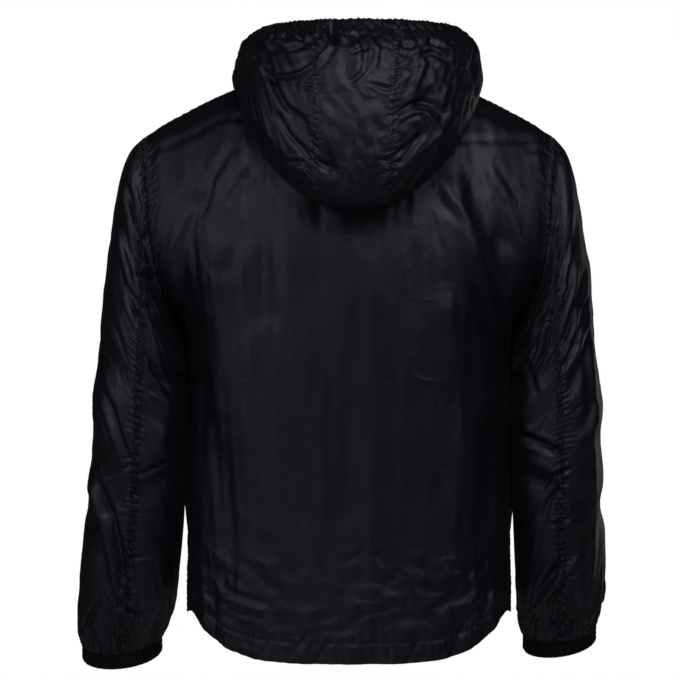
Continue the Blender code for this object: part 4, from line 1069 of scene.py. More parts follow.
@dataclass
class Sleeve:
    """A two-piece sleeve from armhole to cuff, with the elastic cuff band below it."""

    side: Side
    armhole: Armhole = Armhole()
    head_run: float = 0.34
    back_seam_deg: float = 90.0
    inner_seam_deg: float = 210.0
    step_deg: float = 2.4
    rows_along: int = 340
    crease_depth: float = 2.1  # times the heights of the creases
    closer_to_body: float = 0.0055
    cloth_per_degree: float = 0.00078
    seed: int = 41
    cuff_height: float = 0.018
    cuff_squeeze: float = 0.978
    cuff_waist: float = 0.012
    cuff_slant: float = 0.2
    cuff_columns: int = 300
    cuff_rows: int = 15
    stitched_rows: tuple[int, int] = (5, 10)
    pleats: int = 46
    pleat_height: float = 0.0008
    # run, outer x and z, inner x and z, middle y, half depth, drop of the back edge
    left_rows: Table = Table(
        (0.00, 0.241, -0.053, 0.193, -0.270, -0.002, 0.058, 0.000),
        (0.06, 0.258, -0.071, 0.198, -0.276, 0.002, 0.064, 0.000),
        (0.13, 0.269, -0.102, 0.200, -0.285, 0.005, 0.068, 0.000),
        (0.22, 0.277, -0.148, 0.199, -0.302, 0.010, 0.070, 0.000),
        (0.32, 0.283, -0.205, 0.194, -0.326, 0.018, 0.069, 0.000),
        (0.44, 0.291, -0.275, 0.194, -0.360, 0.020, 0.066, 0.000),
        (0.56, 0.297, -0.350, 0.193, -0.401, 0.021, 0.062, 0.003),
        (0.67, 0.302, -0.422, 0.193, -0.447, 0.015, 0.059, 0.006),
        (0.78, 0.311, -0.492, 0.194, -0.499, 0.001, 0.057, 0.010),
        (0.87, 0.317, -0.550, 0.199, -0.550, -0.016, 0.055, 0.014),
        (0.94, 0.321, -0.605, 0.207, -0.603, -0.033, 0.052, 0.016),
        (0.98, 0.322, -0.636, 0.216, -0.631, -0.044, 0.045, 0.016),
        (1.00, 0.320, -0.655, 0.223, -0.646, -0.050, 0.039, 0.015),
    )
    right_rows: Table = Table(
        (0.00, 0.241, -0.053, 0.193, -0.270, -0.002, 0.058, 0.000),
        (0.06, 0.256, -0.072, 0.198, -0.276, 0.002, 0.064, 0.000),
        (0.13, 0.266, -0.104, 0.200, -0.285, 0.005, 0.068, 0.000),
        (0.22, 0.273, -0.148, 0.199, -0.302, 0.010, 0.070, 0.000),
        (0.32, 0.281, -0.205, 0.194, -0.326, 0.018, 0.069, 0.000),
        (0.44, 0.287, -0.275, 0.194, -0.360, 0.020, 0.066, 0.000),
        (0.56, 0.293, -0.350, 0.193, -0.401, 0.021, 0.062, 0.003),
        (0.67, 0.297, -0.420, 0.193, -0.447, 0.015, 0.059, 0.006),
        (0.78, 0.300, -0.485, 0.193, -0.499, 0.001, 0.057, 0.009),
        (0.87, 0.304, -0.535, 0.196, -0.550, -0.015, 0.055, 0.012),
        (0.94, 0.304, -0.583, 0.200, -0.600, -0.030, 0.052, 0.013),
        (0.98, 0.301, -0.612, 0.203, -0.626, -0.041, 0.045, 0.013),
        (1.00, 0.296, -0.632, 0.208, -0.645, -0.046, 0.039, 0.012),
    )
    # run, angle in degrees, lean, half length along, half angle, height
    folds: tuple[tuple[float, ...], ...] = (
        (0.26, 130, 0.05, 0.040, 60, -0.0060),
        (0.40, 150, -0.05, 0.036, 55, -0.0055),
        (0.52, 90, 0.05, 0.036, 60, -0.0055),
        (0.62, 50, 0.05, 0.036, 60, 0.0050),
        (0.71, 100, -0.06, 0.036, 60, -0.0060),
        (0.82, 40, 0.06, 0.036, 60, -0.0055),
        (0.55, 290, 0.05, 0.045, 60, -0.0045),
        (0.74, 280, -0.05, 0.045, 60, -0.0045),
    )

    def ring(self, runs: Array, angles_deg: Array) -> Array:
        """Shapes the smooth tube of a left sleeve.

        Args:
            runs: From the armhole (0) to the cuff (1).
            angles_deg: Round the arm: 0 is its outer side, 90 behind it.

        Returns:
            Its points, one row for each run.
        """
        table = self.left_rows if self.side is Side.LEFT else self.right_rows
        columns = np.moveaxis(table.at(runs)[:, None, :], -1, 0)
        outer_x, outer_z, inner_x, inner_z, mid_y, half_depth, back_drop = columns
        none = np.zeros_like(mid_y)
        middle = stack((outer_x + inner_x) / 2, mid_y, (outer_z + inner_z) / 2)
        outward = stack((outer_x - inner_x) / 2, none, (outer_z - inner_z) / 2)
        backward = stack(none, half_depth, -back_drop)
        turn = np.radians(angles_deg)[None, :, None]
        return middle + outward * np.cos(turn) + backward * np.sin(turn)

    def form(self, runs: Array, angles_deg: Array) -> Array:
        """Eases from the armhole seam into the smooth tube.

        Args:
            runs: From the armhole (0) to the cuff (1).
            angles_deg: Round the arm: 0 is its outer side, 90 behind it.

        Returns:
            The points of a left sleeve.
        """
        settle = fade(runs, 0, self.head_run)[:, None, None] ** 1.5
        offset = self.armhole.at(angles_deg) - self.ring(np.zeros(1), angles_deg)[0]
        return self.ring(runs, angles_deg) + settle * offset[None]

    def from_seams(self, angles_deg: Array) -> Array:
        """Measures how far columns are from the seams along the sleeve.

        Args:
            angles_deg: The columns.

        Returns:
            How many degrees each is from the nearer seam.
        """
        seams = (self.back_seam_deg, self.inner_seam_deg)
        return np.minimum(*(np.abs(turned_from(seam, angles_deg)) for seam in seams))

    def heights(self, runs: Array, angles_deg: Array) -> Array:
        """Adds up the folds across the sleeve, and the gathers where the cuff draws it up.

        Args:
            runs: From the armhole (0) to the cuff (1).
            angles_deg: Round the arm: 0 is its outer side, 90 behind it.

        Returns:
            How far each point moves out.
        """
        run, angle = runs[:, None], angles_deg[None, :]
        total = np.zeros((len(runs), len(angles_deg)))
        for place, towards, lean, half_run, half_angle, height in self.folds:
            around = turned_from(towards, angle)
            middle = place + lean * around / half_angle
            total += height * bump(around, half_angle) * bump(run - middle, half_run)
        total *= 0.35 + 0.65 * ease(self.from_seams(angles_deg), 0, 30)
        total *= ease(run, 0.05, 0.22) * fade(run, 0.86, 0.95)
        gathered = ease(run, 0.90, 0.97) * fade(run, 0.98, 1.0)
        total += gathered * (0.0018 * np.cos(np.radians(angle * 12)) - 0.0016)
        closer = self.closer_to_body * ease(run, 0.0, 0.07) * fade(run, 0.58, 0.74)
        return total + closer * bump(turned_from(178, angle), 42)

    def tube(self) -> Cloth:
        """Makes the whole sleeve, cut open along its inner seam.

        Returns:
            Its sheet of cloth.
        """
        angles = np.arange(self.inner_seam_deg - 360, self.inner_seam_deg + 0.1, self.step_deg)
        runs = np.linspace(0, 1, self.rows_along + 1)
        sign = self.side.value
        left = Cloth(self.form(runs, angles), -1)
        left.raise_by(self.heights(runs, angles))
        cloth = Cloth(left.points * (sign, 1, 1), -sign)
        clear = 1 - 0.75 * bump(turned_from(172, angles), 32) * ease(runs, 0.1, 0.3)[:, None]
        creases = crease_heights(SLEEVE_BACK_CREASES, cloth.points, BEHIND) * cloth.facing(BEHIND)
        creases += crease_heights(SLEEVE_FRONT_CREASES, cloth.points, IN_FRONT) * cloth.facing(IN_FRONT)
        from_seams = self.from_seams(angles)[None, :]
        ends = ease(runs, 0.01, 0.05)[:, None] * fade(runs, 0.97, 1.0)[:, None]
        cloth.raise_by(creases * self.crease_depth * ends * ease(from_seams, 0, 6) * clear)
        self.slacken(cloth, runs, angles, clear)
        return cloth

    def slacken(self, cloth: Cloth, runs: Array, angles: Array, clear: Array) -> None:
        """Gives the tube its extra cloth and lets it wrinkle.

        Args:
            cloth: The tube.
            runs: How far along each row is.
            angles: The angle of each column.
            clear: How free the cloth is: less beside the body.
        """
        ripples = Ripples(self.seed + self.side.value, cloth.flat())
        run = runs[:, None]
        degree = self.cloth_per_degree
        from_back = np.abs(angles - self.back_seam_deg)[None, :] * degree
        from_inner = np.minimum(angles - angles[0], angles[-1] - angles)[None, :] * degree
        back_seam = fade(from_back, 0.002, 0.015) * ease(run, 0.0, 0.04)
        inner_seam = fade(from_inner, 0.0, 0.018)
        head, cuff = fade(run, 0.0, 0.045), ease(run, 0.86, 0.985)
        elbow = bump(run - 0.56, 0.20) * clear
        patches = 0.5 + 0.5 * ripples.over(0.11, 0.10)
        cloth.extra_up = (0.004 + 0.020 * patches * (0.4 + elbow)) * clear
        cloth.extra_up = cloth.extra_up + 0.170 * back_seam + 0.045 * inner_seam * clear
        cloth.extra_across = (0.003 + 0.010 * patches) * clear + 0.42 * cuff**2 + 0.04 * head
        cloth.hold = 0.0010 + 0.007 * np.maximum(back_seam, inner_seam) + 0.010 * head + 0.001 * cuff
        cloth.hold = cloth.hold + 0.02 * (1 - clear)
        lower = 0.25 + 0.75 * ease(run, 0.10, 0.30)
        broad = 0.0016 * (0.4 + patches) * clear * lower * ripples.over(0.070, 0.045)
        broad += 0.0006 * clear * lower * ripples.over(0.024, 0.030)
        rungs = 0.0014 * back_seam * ripples.over(0.050, 0.0088)
        rungs += 0.0006 * inner_seam * clear * ripples.over(0.045, 0.0090)
        gathers = 0.0022 * cuff * ripples.over(0.014, 0.060)
        puckers = 0.0007 * head * ripples.over(0.0085, 0.030)
        cloth.firm[:, (0, -1)] = cloth.firm[(0, -1), :] = True
        cloth.relax(broad + rungs + gathers + puckers, ROUNDS, stiffness=0.0020, most=0.0042)

    def back_column(self) -> int:
        """The column of the tube's grid that is the seam behind the arm."""
        return round((self.back_seam_deg - self.inner_seam_deg + 360) / self.step_deg)

    def pieces(self, tube: Cloth) -> list[Piece]:
        """Cuts the upper and the under piece.

        Args:
            tube: The sleeve's sheet of cloth.

        Returns:
            Both pieces.
        """
        seam, sewn = self.back_column(), (Edge.SEWN,) * 4
        return [
            tube.cut_out(f"upper_sleeve_{self.side.word}", sewn, slice(0, seam + 1)),
            tube.cut_out(f"under_sleeve_{self.side.word}", sewn, slice(seam, None)),
        ]

    def cuff(self) -> Piece:
        """Makes the cuff band: a closed ring, pleated between its rows of stitches.

        Returns:
            The band, with its inner layer.
        """
        table = self.left_rows if self.side is Side.LEFT else self.right_rows
        outer_x, outer_z, inner_x, inner_z, mid_y = table.at(np.array(1.0))[:5]
        middle = np.array(((outer_x + inner_x) / 2, mid_y, (outer_z + inner_z) / 2))
        angles = np.linspace(0, 360, self.cuff_columns, endpoint=False)
        turn, shares = np.radians(angles)[None, :], np.linspace(0, 1, self.cuff_rows + 1)[:, None]
        squeeze = (self.cuff_squeeze - self.cuff_waist * np.sin(math.pi * shares))[..., None]
        fall = np.array((0.0, -self.cuff_slant * self.cuff_height, -self.cuff_height))
        fall = fall * (1.06 * shares - 0.06)[..., None]
        sign = self.side.value
        band = (middle + (self.ring(np.ones(1), angles) - middle) * squeeze + fall) * (sign, 1, 1)
        around = np.roll(band, -1, axis=1) - np.roll(band, 1, axis=1)
        out = unit(np.cross(around, np.gradient(band, axis=0))) * -sign
        phase = 2.2 * np.sin(3 * turn + sign) + 1.7 * np.sin(7 * turn) + 1.2 * np.sin(13 * turn + 2)
        pleats = np.cos(self.pleats * turn + phase + 0.25 * np.sin(5 * turn) * shares)
        pleats += 0.35 * np.cos(2 * self.pleats * turn + 1.3 * phase)
        between = np.abs(np.sin(math.pi * shares * 3))
        heights = self.pleat_height * pleats * (0.35 + 0.65 * between) - 0.00045 * (1 - between) ** 3
        heights += 0.0006 * np.sqrt(np.maximum(np.sin(math.pi * shares), 0))
        band = band + out * heights[..., None]
        grid = np.zeros((*band.shape[:2], 8))
        grid[..., PLACE], grid[..., OUT] = band, out
        steps = norm(np.diff(band, axis=1), axis=2).mean(axis=0)
        grid[:, 1:, 3] = np.cumsum(steps)[None, :]
        grid[..., 4] = self.cuff_height * shares
        inner = grid[::-2].copy()
        inner[..., PLACE] -= inner[..., OUT] * 0.0013
        inner[..., 4] = 2 * self.cuff_height + 0.001 - inner[..., 4]
        whole = np.concatenate([grid, inner], axis=0)
        return Piece(f"cuff_band_{self.side.word}", whole, -sign, (Edge.OPEN,) * 4, closed=True)


# ---- the hood
@dataclass
class Hood:
    """The lowered hood: a stand round the neck, a pouch behind it and a gathered rim."""

    neckline: Neckline = Neckline()
    neck_gap: float = 0.0007
    lift: float = 0.0022
    dip_power: float = 1.15
    flatness: float = 0.26
    slip: float = 0.013
    zip_half_opening: float = 0.006
    seam_deg: float = 18.0
    step_deg: float = 1.2
    rows_up: int = 210
    casing: float = 0.018
    casing_pinch: float = 0.0012
    rim_wave: float = 0.0004
    crease_depth: float = 1.5  # times the heights of the creases
    cloth_per_degree: float = 0.0021
    seed: int = 71
    # run, side x, y, z, back y, z, front y, z
    rows: Table = Table(
        (0.00, 0.0880, 0.005, 0.021, 0.060, 0.009, -0.075, -0.069),
        (0.12, 0.1030, 0.012, 0.021, 0.092, -0.022, -0.079, -0.062),
        (0.36, 0.1350, 0.022, 0.006, 0.136, -0.143, -0.085, -0.049),
        (0.48, 0.1440, 0.026, 0.018, 0.176, -0.119, -0.089, -0.038),
        (0.66, 0.1410, 0.026, 0.037, 0.182, -0.042, -0.091, -0.025),
        (0.84, 0.1340, 0.022, 0.056, 0.164, 0.028, -0.091, -0.011),
        (1.00, 0.1170, 0.016, 0.069, 0.122, 0.072, -0.089, 0.004),
    )
    # run, and how many degrees the left and the right seam stray there
    stray: Table = Table((0.0, 0.0, 0.0), (0.35, 3.8, 5.0), (0.70, 4.4, 2.6), (1.0, 3.8, -4.3))
    folds: tuple[Crease, ...] = placed(
        (12, -5, 93, 7, 27, -97), (10, -3, 77, -47, 30, -100), (11, -3.5, -62, -35, -85, -24),
        (11, -3.5, -85, -24, -101, -36), (11, -3.5, -79, -63, -51, -92), (12, 2.5, -10, 30, -12, -110),
        **SOFT,
    )

    def form(self, runs: Array, angles_deg: Array) -> Array:
        """Shapes the hood before it settles on the shoulders.

        Args:
            runs: From the neck seam (0) to the rim (1).
            angles_deg: Round the neck: 0 is the centre back.

        Returns:
            Its points, one row for each run.
        """
        columns = np.moveaxis(self.rows.at(runs)[:, None, :], -1, 0)
        side_x, side_y, side_z, back_y, back_z, front_y, front_z = columns
        even = (-180.0, -80.0, -self.seam_deg, self.seam_deg, 80.0, 180.0)
        strays = ((0, 0, right, left, 0, 0) for left, right in self.stray.at(runs))
        angles_deg = np.array([angles_deg + np.interp(angles_deg, even, stray) for stray in strays])
        around = np.abs(angles_deg)
        turn = np.radians(around)
        lean = np.abs(np.cos(turn))
        centre_y = np.where(around <= 90, back_y, front_y)
        centre_z = np.where(around <= 90, back_z, front_z)
        flatter = self.flatness * ease(runs, 0.3, 0.55)[:, None] * (around <= 90)
        y = side_y + (centre_y - side_y) * lean ** (1 - flatter)
        points = stack(side_x * np.sin(turn), y, side_z + (centre_z - side_z) * lean**self.dip_power)
        points[0] = self.neckline.at(around[0]) + (0, 0, self.neck_gap)
        x = np.where(around > 90, np.maximum(points[..., 0], self.zip_half_opening), points[..., 0])
        held_by_zip = ease(-np.cos(turn), -0.3, 0.6)
        slipped = self.slip * ease(runs, 0.1, 0.6)[:, None] * (1 - held_by_zip)
        points[..., 0] = np.copysign(x, angles_deg) - slipped
        return points

    def settle(self, points: Array, floor: BVHTree, rounds: int, lift: float) -> Array:
        """Moves the cloth clear of what it lies on.

        Args:
            points: The grid, whose first row is sewn and stays.
            floor: The outer faces below.
            rounds: How many times to look.
            lift: How far above them the cloth lies.

        Returns:
            The settled grid.
        """
        picked_rows, picked_columns = (
            np.unique(np.append(np.arange(0, count, step), count - 1))
            for count, step in zip(points.shape, (3, 4))
        )
        for _ in range(rounds):
            moves = np.zeros((len(picked_rows), len(picked_columns), 3))
            for i, row in enumerate(picked_rows):
                for j, column in enumerate(picked_columns):
                    place = Vector(points[row, column])
                    near, normal, _, apart = floor.find_nearest(place, 0.03)
                    if near is None:
                        continue
                    wanted = self.neck_gap + (lift - self.neck_gap) * min(row / 8, 1)
                    short = wanted - (place - near).dot(normal)
                    if short > 0:
                        moves[i, j] = normal * short
            points = points + self.spread(moves, picked_rows, picked_columns, points.shape[:2])
        return points

    @staticmethod
    def spread(moves: Array, rows: Array, columns: Array, shape: tuple[int, int]) -> Array:
        """Spreads moves at some rows and columns smoothly over a whole grid.

        Args:
            moves: The moves.
            rows: The rows that they belong to.
            columns: Their columns.
            shape: The numbers of rows and columns of the grid.

        Returns:
            A move for each point, and none along the sewn first row.
        """
        all_rows, all_columns = (np.arange(count) for count in shape)
        wide = np.empty((len(rows), shape[1], 3))
        full = np.empty((*shape, 3))
        for k in range(3):
            for i in range(len(rows)):
                wide[i, :, k] = np.interp(all_columns, columns, moves[i, :, k])
            for j in range(shape[1]):
                full[:, j, k] = np.interp(all_rows, rows, wide[:, j, k])
        full[0] = 0
        return full

    def sheet(self, floor: BVHTree) -> Cloth:
        """Makes the whole hood, from the right of the zip round the back to the left.

        Args:
            floor: What it lies on.

        Returns:
            Its sheet of cloth.
        """
        angles = np.linspace(-180, 180, round(360 / self.step_deg) + 1)
        runs = np.linspace(0, 1, self.rows_up + 1)
        cloth = Cloth(self.settle(self.form(runs, angles), floor, rounds=4, lift=0.0030), -1)
        run, around = runs[:, None], np.abs(angles)[None, :]
        outer = ease(run, 0.40, 0.52)
        folds = fold_heights(self.folds, cloth.points) * outer * ease(cloth.points[..., 1], 0.02, 0.07)
        rim = ease(run, 0.86, 1.0) * fade(around, 130, 165)
        waves = self.rim_wave * rim * np.cos(np.radians(angles * 20))[None, :]
        cloth.raise_by(folds + waves)
        creases = crease_heights(HOOD_CREASES, cloth.points, BEHIND) * cloth.facing(BEHIND) * outer
        from_seam = np.abs(around - self.seam_deg)
        pinch = self.casing_pinch * bump(self.from_rim(cloth) - self.casing, 0.003)
        pinch = pinch * fade(around, 130, 165)
        cloth.raise_by(self.crease_depth * creases * ease(from_seam, 0, 2.5) - pinch)
        self.slacken(cloth, runs, angles)
        cloth.points = self.settle(cloth.points, floor, rounds=3, lift=self.lift)
        return cloth

    @staticmethod
    def from_rim(cloth: Cloth) -> Array:
        """How far each point is from the rim."""
        up = cloth.flat()[..., 1]
        return up[-1:] - up

    def slacken(self, cloth: Cloth, runs: Array, angles: Array) -> None:
        """Gives the hood its extra cloth and lets it wrinkle.

        Args:
            cloth: The hood.
            runs: How far up each row is.
            angles: The angle of each column.
        """
        ripples = Ripples(self.seed, cloth.flat())
        run, around = runs[:, None], np.abs(angles)[None, :]
        outer = ease(run, 0.38, 0.50) * fade(around, 110, 150)
        seam = fade(np.abs(around - self.seam_deg) * self.cloth_per_degree, 0.0005, 0.012)
        seam = seam * ease(run, 0.02, 0.1)
        rim = fade(self.from_rim(cloth), 0.9 * self.casing, 2.8 * self.casing)
        rim = rim * fade(around, 125, 165)
        neck, ends = fade(run, 0.0, 0.06), ease(around, 172, 180)
        patches = 0.5 + 0.5 * ripples.over(0.07, 0.07)
        at_rim = fade(self.from_rim(cloth), 0.002, 0.008)
        cloth.extra_up = 0.004 + 0.034 * patches * outer + 0.050 * seam
        cloth.extra_across = 0.004 + 0.028 * patches * outer + 0.13 * rim + 0.06 * neck
        cloth.hold = 0.0013 + 0.008 * seam + 0.010 * neck + 0.003 * rim + 0.02 * ends + 0.06 * at_rim
        broad = 0.0022 * patches * outer * ripples.over(0.036, 0.042)
        broad += 0.0014 * outer * ripples.over(0.017, 0.026)
        puckers = 0.0008 * seam * ripples.over(0.045, 0.0088)
        gathers = 0.0012 * rim * (1 - 0.6 * at_rim) * ripples.over(0.010, 0.035)
        gathers += 0.0006 * neck * ripples.over(0.010, 0.030)
        cloth.firm[0] = cloth.firm[:, 0] = cloth.firm[:, -1] = True
        cloth.relax(broad + puckers + gathers, ROUNDS, stiffness=0.0022, most=0.0042)

    def seam_columns(self) -> tuple[int, int]:
        """The columns of the sheet that are the right and the left seam."""
        return tuple(round((180 + turn) / self.step_deg) for turn in (-self.seam_deg, self.seam_deg))

    def pieces(self, sheet: Cloth) -> list[Piece]:
        """Cuts the right, centre and left panels.

        Args:
            sheet: The hood's sheet of cloth.

        Returns:
            The panels.
        """
        right, left = self.seam_columns()
        cuts = (
            ("hood_right_panel", slice(0, right + 1), (Edge.FACED, Edge.SEWN)),
            ("hood_centre_panel", slice(right, left + 1), (Edge.SEWN, Edge.SEWN)),
            ("hood_left_panel", slice(left, None), (Edge.SEWN, Edge.FACED)),
        )
        sizes = {"hem": self.casing, "allowance": 0.004, "puckering": 0.45}
        ends = (Edge.OPEN, Edge.HEMMED)
        return [sheet.cut_out(name, (*sides, *ends), columns, **sizes) for name, columns, sides in cuts]


# ---- the zip
@dataclass(frozen=True)
class Repeater:
    """Sets small rounded beads along lines, such as stitches or the turns of a zip's coil.

    Attributes:
        pitch: From one bead to the next.
        size: Of a bead: along the line, and across it two ways.
        detail: How finely a bead is meshed.
        unevenness: How much its size varies, as a share.
        seed: Picks the variation.
    """

    pitch: float
    size: Triple
    detail: int = 1
    unevenness: float = 0.12
    seed: int = 5

    def tree(self) -> NodeTree:
        """Builds the geometry nodes, once for all repeaters.

        Returns:
            The tree.
        """
        kinds = ("Geometry", "Float", "Vector", "Int", "Float", "Int", "Material")
        names = ("Geometry", "Pitch", "Size", "Detail", "Unevenness", "Seed", "Finish")
        sockets = dict(zip(names, kinds))
        made, bench = node_group("beads along lines", "Geometry", sockets, ("Geometry", "Geometry"))
        if bench:
            given = bench.add("NodeGroupInput").outputs
            lines = bench.add("GeometryNodeMeshToCurve", (given["Geometry"],)).outputs["Curve"]
            spacing = {"Curve": lines, "Length": given["Pitch"]}
            spaced = bench.add("GeometryNodeResampleCurve", spacing, mode="LENGTH")
            tangent = bench.add("GeometryNodeInputTangent").outputs["Tangent"]
            turned = bench.add("FunctionNodeAlignRotationToVector", {"Vector": tangent}, axis="X")
            limits = {2: -1.0, 3: 1.0, "Seed": given["Seed"]}
            chance = bench.add("FunctionNodeRandomValue", limits, data_type="FLOAT").outputs[1]
            varied = bench.math("MULTIPLY", chance, given["Unevenness"])
            sizing = {0: given["Size"], "Scale": bench.math("MULTIPLY_ADD", varied, 0.5, 0.5)}
            scaled = bench.add("ShaderNodeVectorMath", sizing, operation="SCALE")
            bead = bench.add("GeometryNodeMeshIcoSphere", {"Subdivisions": given["Detail"]})
            placing = {
                "Points": spaced.outputs["Curve"],
                "Instance": bead.outputs["Mesh"],
                "Rotation": turned.outputs["Rotation"],
                "Scale": scaled.outputs["Vector"],
            }
            set_out = bench.add("GeometryNodeInstanceOnPoints", placing).outputs["Instances"]
            real = bench.add("GeometryNodeRealizeInstances", (set_out,)).outputs["Geometry"]
            smooth = bench.add("GeometryNodeSetShadeSmooth", (real,)).outputs["Geometry"]
            dressing = {"Geometry": smooth, "Material": given["Finish"]}
            painted = bench.add("GeometryNodeSetMaterial", dressing).outputs["Geometry"]
            bench.add("NodeGroupOutput", {"Geometry": painted})
        return made

    def along(self, name: str, lines: list[Array], finish: "Finish") -> Object:
        """Sets beads along lines and hands them to the frame as one piece.

        Args:
            name: The name of the piece.
            lines: The points of each line.
            finish: The finish of the beads.

        Returns:
            The object of the piece.
        """
        points, edges, first = np.concatenate(lines), [], 0
        for each in lines:
            starts = np.arange(first, first + len(each) - 1)
            edges.append(np.stack([starts, starts + 1], axis=1))
            first += len(each)
        mesh = bpy.data.meshes.new(f"{name}_path")
        mesh.from_pydata(points, np.concatenate(edges), [])
        path = link_object(mesh.name, mesh)
        modifier = path.modifiers.new("beads", "NODES")
        modifier.node_group = self.tree()
        values = {
            "Pitch": self.pitch,
            "Size": self.size,
            "Detail": self.detail,
            "Unevenness": self.unevenness,
            "Seed": self.seed,
            "Finish": finish.material(),
        }
        for item in modifier.node_group.interface.items_tree:
            if item.in_out == "INPUT" and item.name in values:
                modifier[item.identifier] = values[item.name]
        path.update_tag()
        evaluated = path.evaluated_get(bpy.context.evaluated_depsgraph_get())
        mesh = bpy.data.meshes.new_from_object(evaluated)
        path.modifiers.clear()
        bpy.data.objects.remove(path)
        made = link_object(name, mesh)
        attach(made, "jacket")
        log.info("%s: %d faces", name, len(mesh.polygons))
        return made


@dataclass
class Zip:
    """The closed front zip: its two tapes and their coils. Its hard parts are solids of the frame."""

    half_gap: float = 0.00015
    half_width: float = 0.0150
    columns: int = 12
    step: float = 0.0030
    depth: float = 0.0022
    foot: float = 0.0028  # from the hem's edge up to the end of the tape
    top: float = 0.0012
    coil: Repeater = Repeater(0.00125, (0.00085, 0.0013, 0.0031), detail=2, unevenness=0.03, seed=3)
    coil_x: float = 0.00125
    coil_ends: tuple[float, float] = (0.006, 0.010)

    def path(self, front: Cloth, stand: Cloth, side: Side) -> Array:
        """Finds the line behind the edges of a front and of the hood's stand.

        Args:
            front: The sheet of the front.
            stand: The sheet of the hood.
            side: The front's side.

        Returns:
            Evenly spaced points, as (y, z).
        """
        stand_edge = stand.points[1:, -1 if side is Side.LEFT else 0, 1:]
        line = np.concatenate([front.points[:, 0, 1:], stand_edge])
        lengths = distances(line)
        places = np.linspace(self.foot, lengths[-1] - self.top, round(lengths[-1] / self.step))
        line = stack(*(np.interp(places, lengths, part) for part in line.T))
        for _ in range(6):
            line[1:-1] = (line[:-2] + 2 * line[1:-1] + line[2:]) / 4
        run = unit(np.gradient(line, axis=0))
        return line + stack(run[:, 1], -run[:, 0]) * self.depth

    def tape(self, path: Array, side: Side) -> Piece:
        """Makes one tape, flat behind the edge of its front.

        Args:
            path: The line that it follows.
            side: Its side.

        Returns:
            The tape.
        """
        widths = np.linspace(self.half_gap, self.half_width, self.columns)
        run = unit(np.gradient(path, axis=0))
        grid = np.zeros((len(path), self.columns, 8))
        grid[..., 0], grid[..., 1:3] = widths[None] * side.value, path[:, None]
        grid[..., 3], grid[..., 4] = widths[None], distances(path)[:, None]
        grid[..., 6:8] = stack(-run[:, 1], run[:, 0])[:, None]
        return Piece(f"tape_{side.word}", grid, side.value, (Edge.OPEN,) * 4)

    def coils(self, path: Array) -> Object:
        """Makes the interlocked turns of the two coils, in front of the tapes.

        Args:
            path: The line that the tapes follow.

        Returns:
            The object of the coils.
        """
        lengths, run = distances(path), unit(np.gradient(path, axis=0))
        face = path - stack(run[:, 1], -run[:, 0]) * self.coil.size[1] * 0.45
        low, high = self.coil_ends[0], lengths[-1] - self.coil_ends[1]
        lines = []
        for side, shift in ((1, 0.0), (-1, self.coil.pitch / 2)):
            places = np.arange(low + shift, high, 0.004)
            yz = (np.interp(places, lengths, part) for part in face.T)
            lines.append(stack(np.full(len(places), side * self.coil_x), *yz))
        return self.coil.along("zip_coil", lines, COIL)


@dataclass
class Stitching:
    """The rows of stitches that show, gathered from the pieces before their edges are turned."""

    thread: Repeater = Repeater(0.0029, (0.0023, 0.00036, 0.00036), unevenness=0.10, seed=7)
    beside_seam: tuple[float, float] = (0.0016, 0.0075)
    beside_fold: float = 0.0065
    below_armhole: float = 0.0035
    lines: list[Array] = field(default_factory=list)

    def beside(self, piece: Piece, edge: int, *rows: float) -> None:
        """Adds rows beside an edge of a piece, at these distances from it."""
        self.lines += [piece.line(edge, distance) for distance in rows]

    def round_cuff(self, cuff: Piece, rows: tuple[int, ...]) -> None:
        """Adds rows round a cuff band.

        Args:
            cuff: The band.
            rows: The rows of its grid.
        """
        for row in rows:
            ring = cuff.grid[row]
            line = ring[:, PLACE] + ring[:, OUT] * 0.0001
            self.lines.append(np.concatenate([line, line[:1]]))

    def sew(self) -> Object:
        """Makes all the stitches."""
        return self.thread.along("stitches", self.lines, THREAD)


# ---- finishes
class Bench:
    """A node tree that nodes are added to."""

    def __init__(self, tree: NodeTree) -> None:
        """Starts to work on a tree."""
        self.tree = tree

    def add(self, kind: str, values: tuple | dict = (), **settings: object) -> Node:
        """Adds a node.

        Args:
            kind: The type of node.
            values: What goes into its first inputs, or into inputs by name or number.
            settings: Its other settings.

        Returns:
            The new node.
        """
        node = self.tree.nodes.new(kind)
        for name, value in settings.items():
            setattr(node, name, value)
        self.fill(node, values if isinstance(values, dict) else dict(enumerate(values)))
        return node

    def fill(self, node: Node, values: dict) -> None:
        """Fills inputs of a node.

        Args:
            node: The node.
            values: Other nodes' outputs, or fixed values, by the name or number of the input.
        """
        for socket, value in values.items():
            if isinstance(value, NodeSocket):
                self.tree.links.new(value, node.inputs[socket])
            else:
                node.inputs[socket].default_value = value

    def math(self, operation: str, *values: object) -> NodeSocket:
        """The result of a Math node."""
        return self.add("ShaderNodeMath", values, operation=operation).outputs[0]

    def noise(
        self, where: object, scale: object, detail: float = 2.0, warp: float = 0.0, **settings: str
    ) -> NodeSocket:
        """The value of a noise texture."""
        values = {"Vector": where, "Scale": scale, "Detail": detail, "Distortion": warp}
        return self.add("ShaderNodeTexNoise", values, **settings).outputs[0]

    def mix(self, share: object, first: tuple, second: tuple) -> NodeSocket:
        """A colour between two, given as red, green and blue."""
        values = {0: share, 6: (*first, 1), 7: (*second, 1)}
        return self.add("ShaderNodeMix", values, data_type="RGBA").outputs[2]

    def relief(self, values: dict) -> NodeSocket:
        """The normal that a Bump node gives with these inputs."""
        return self.add("ShaderNodeBump", values).outputs["Normal"]


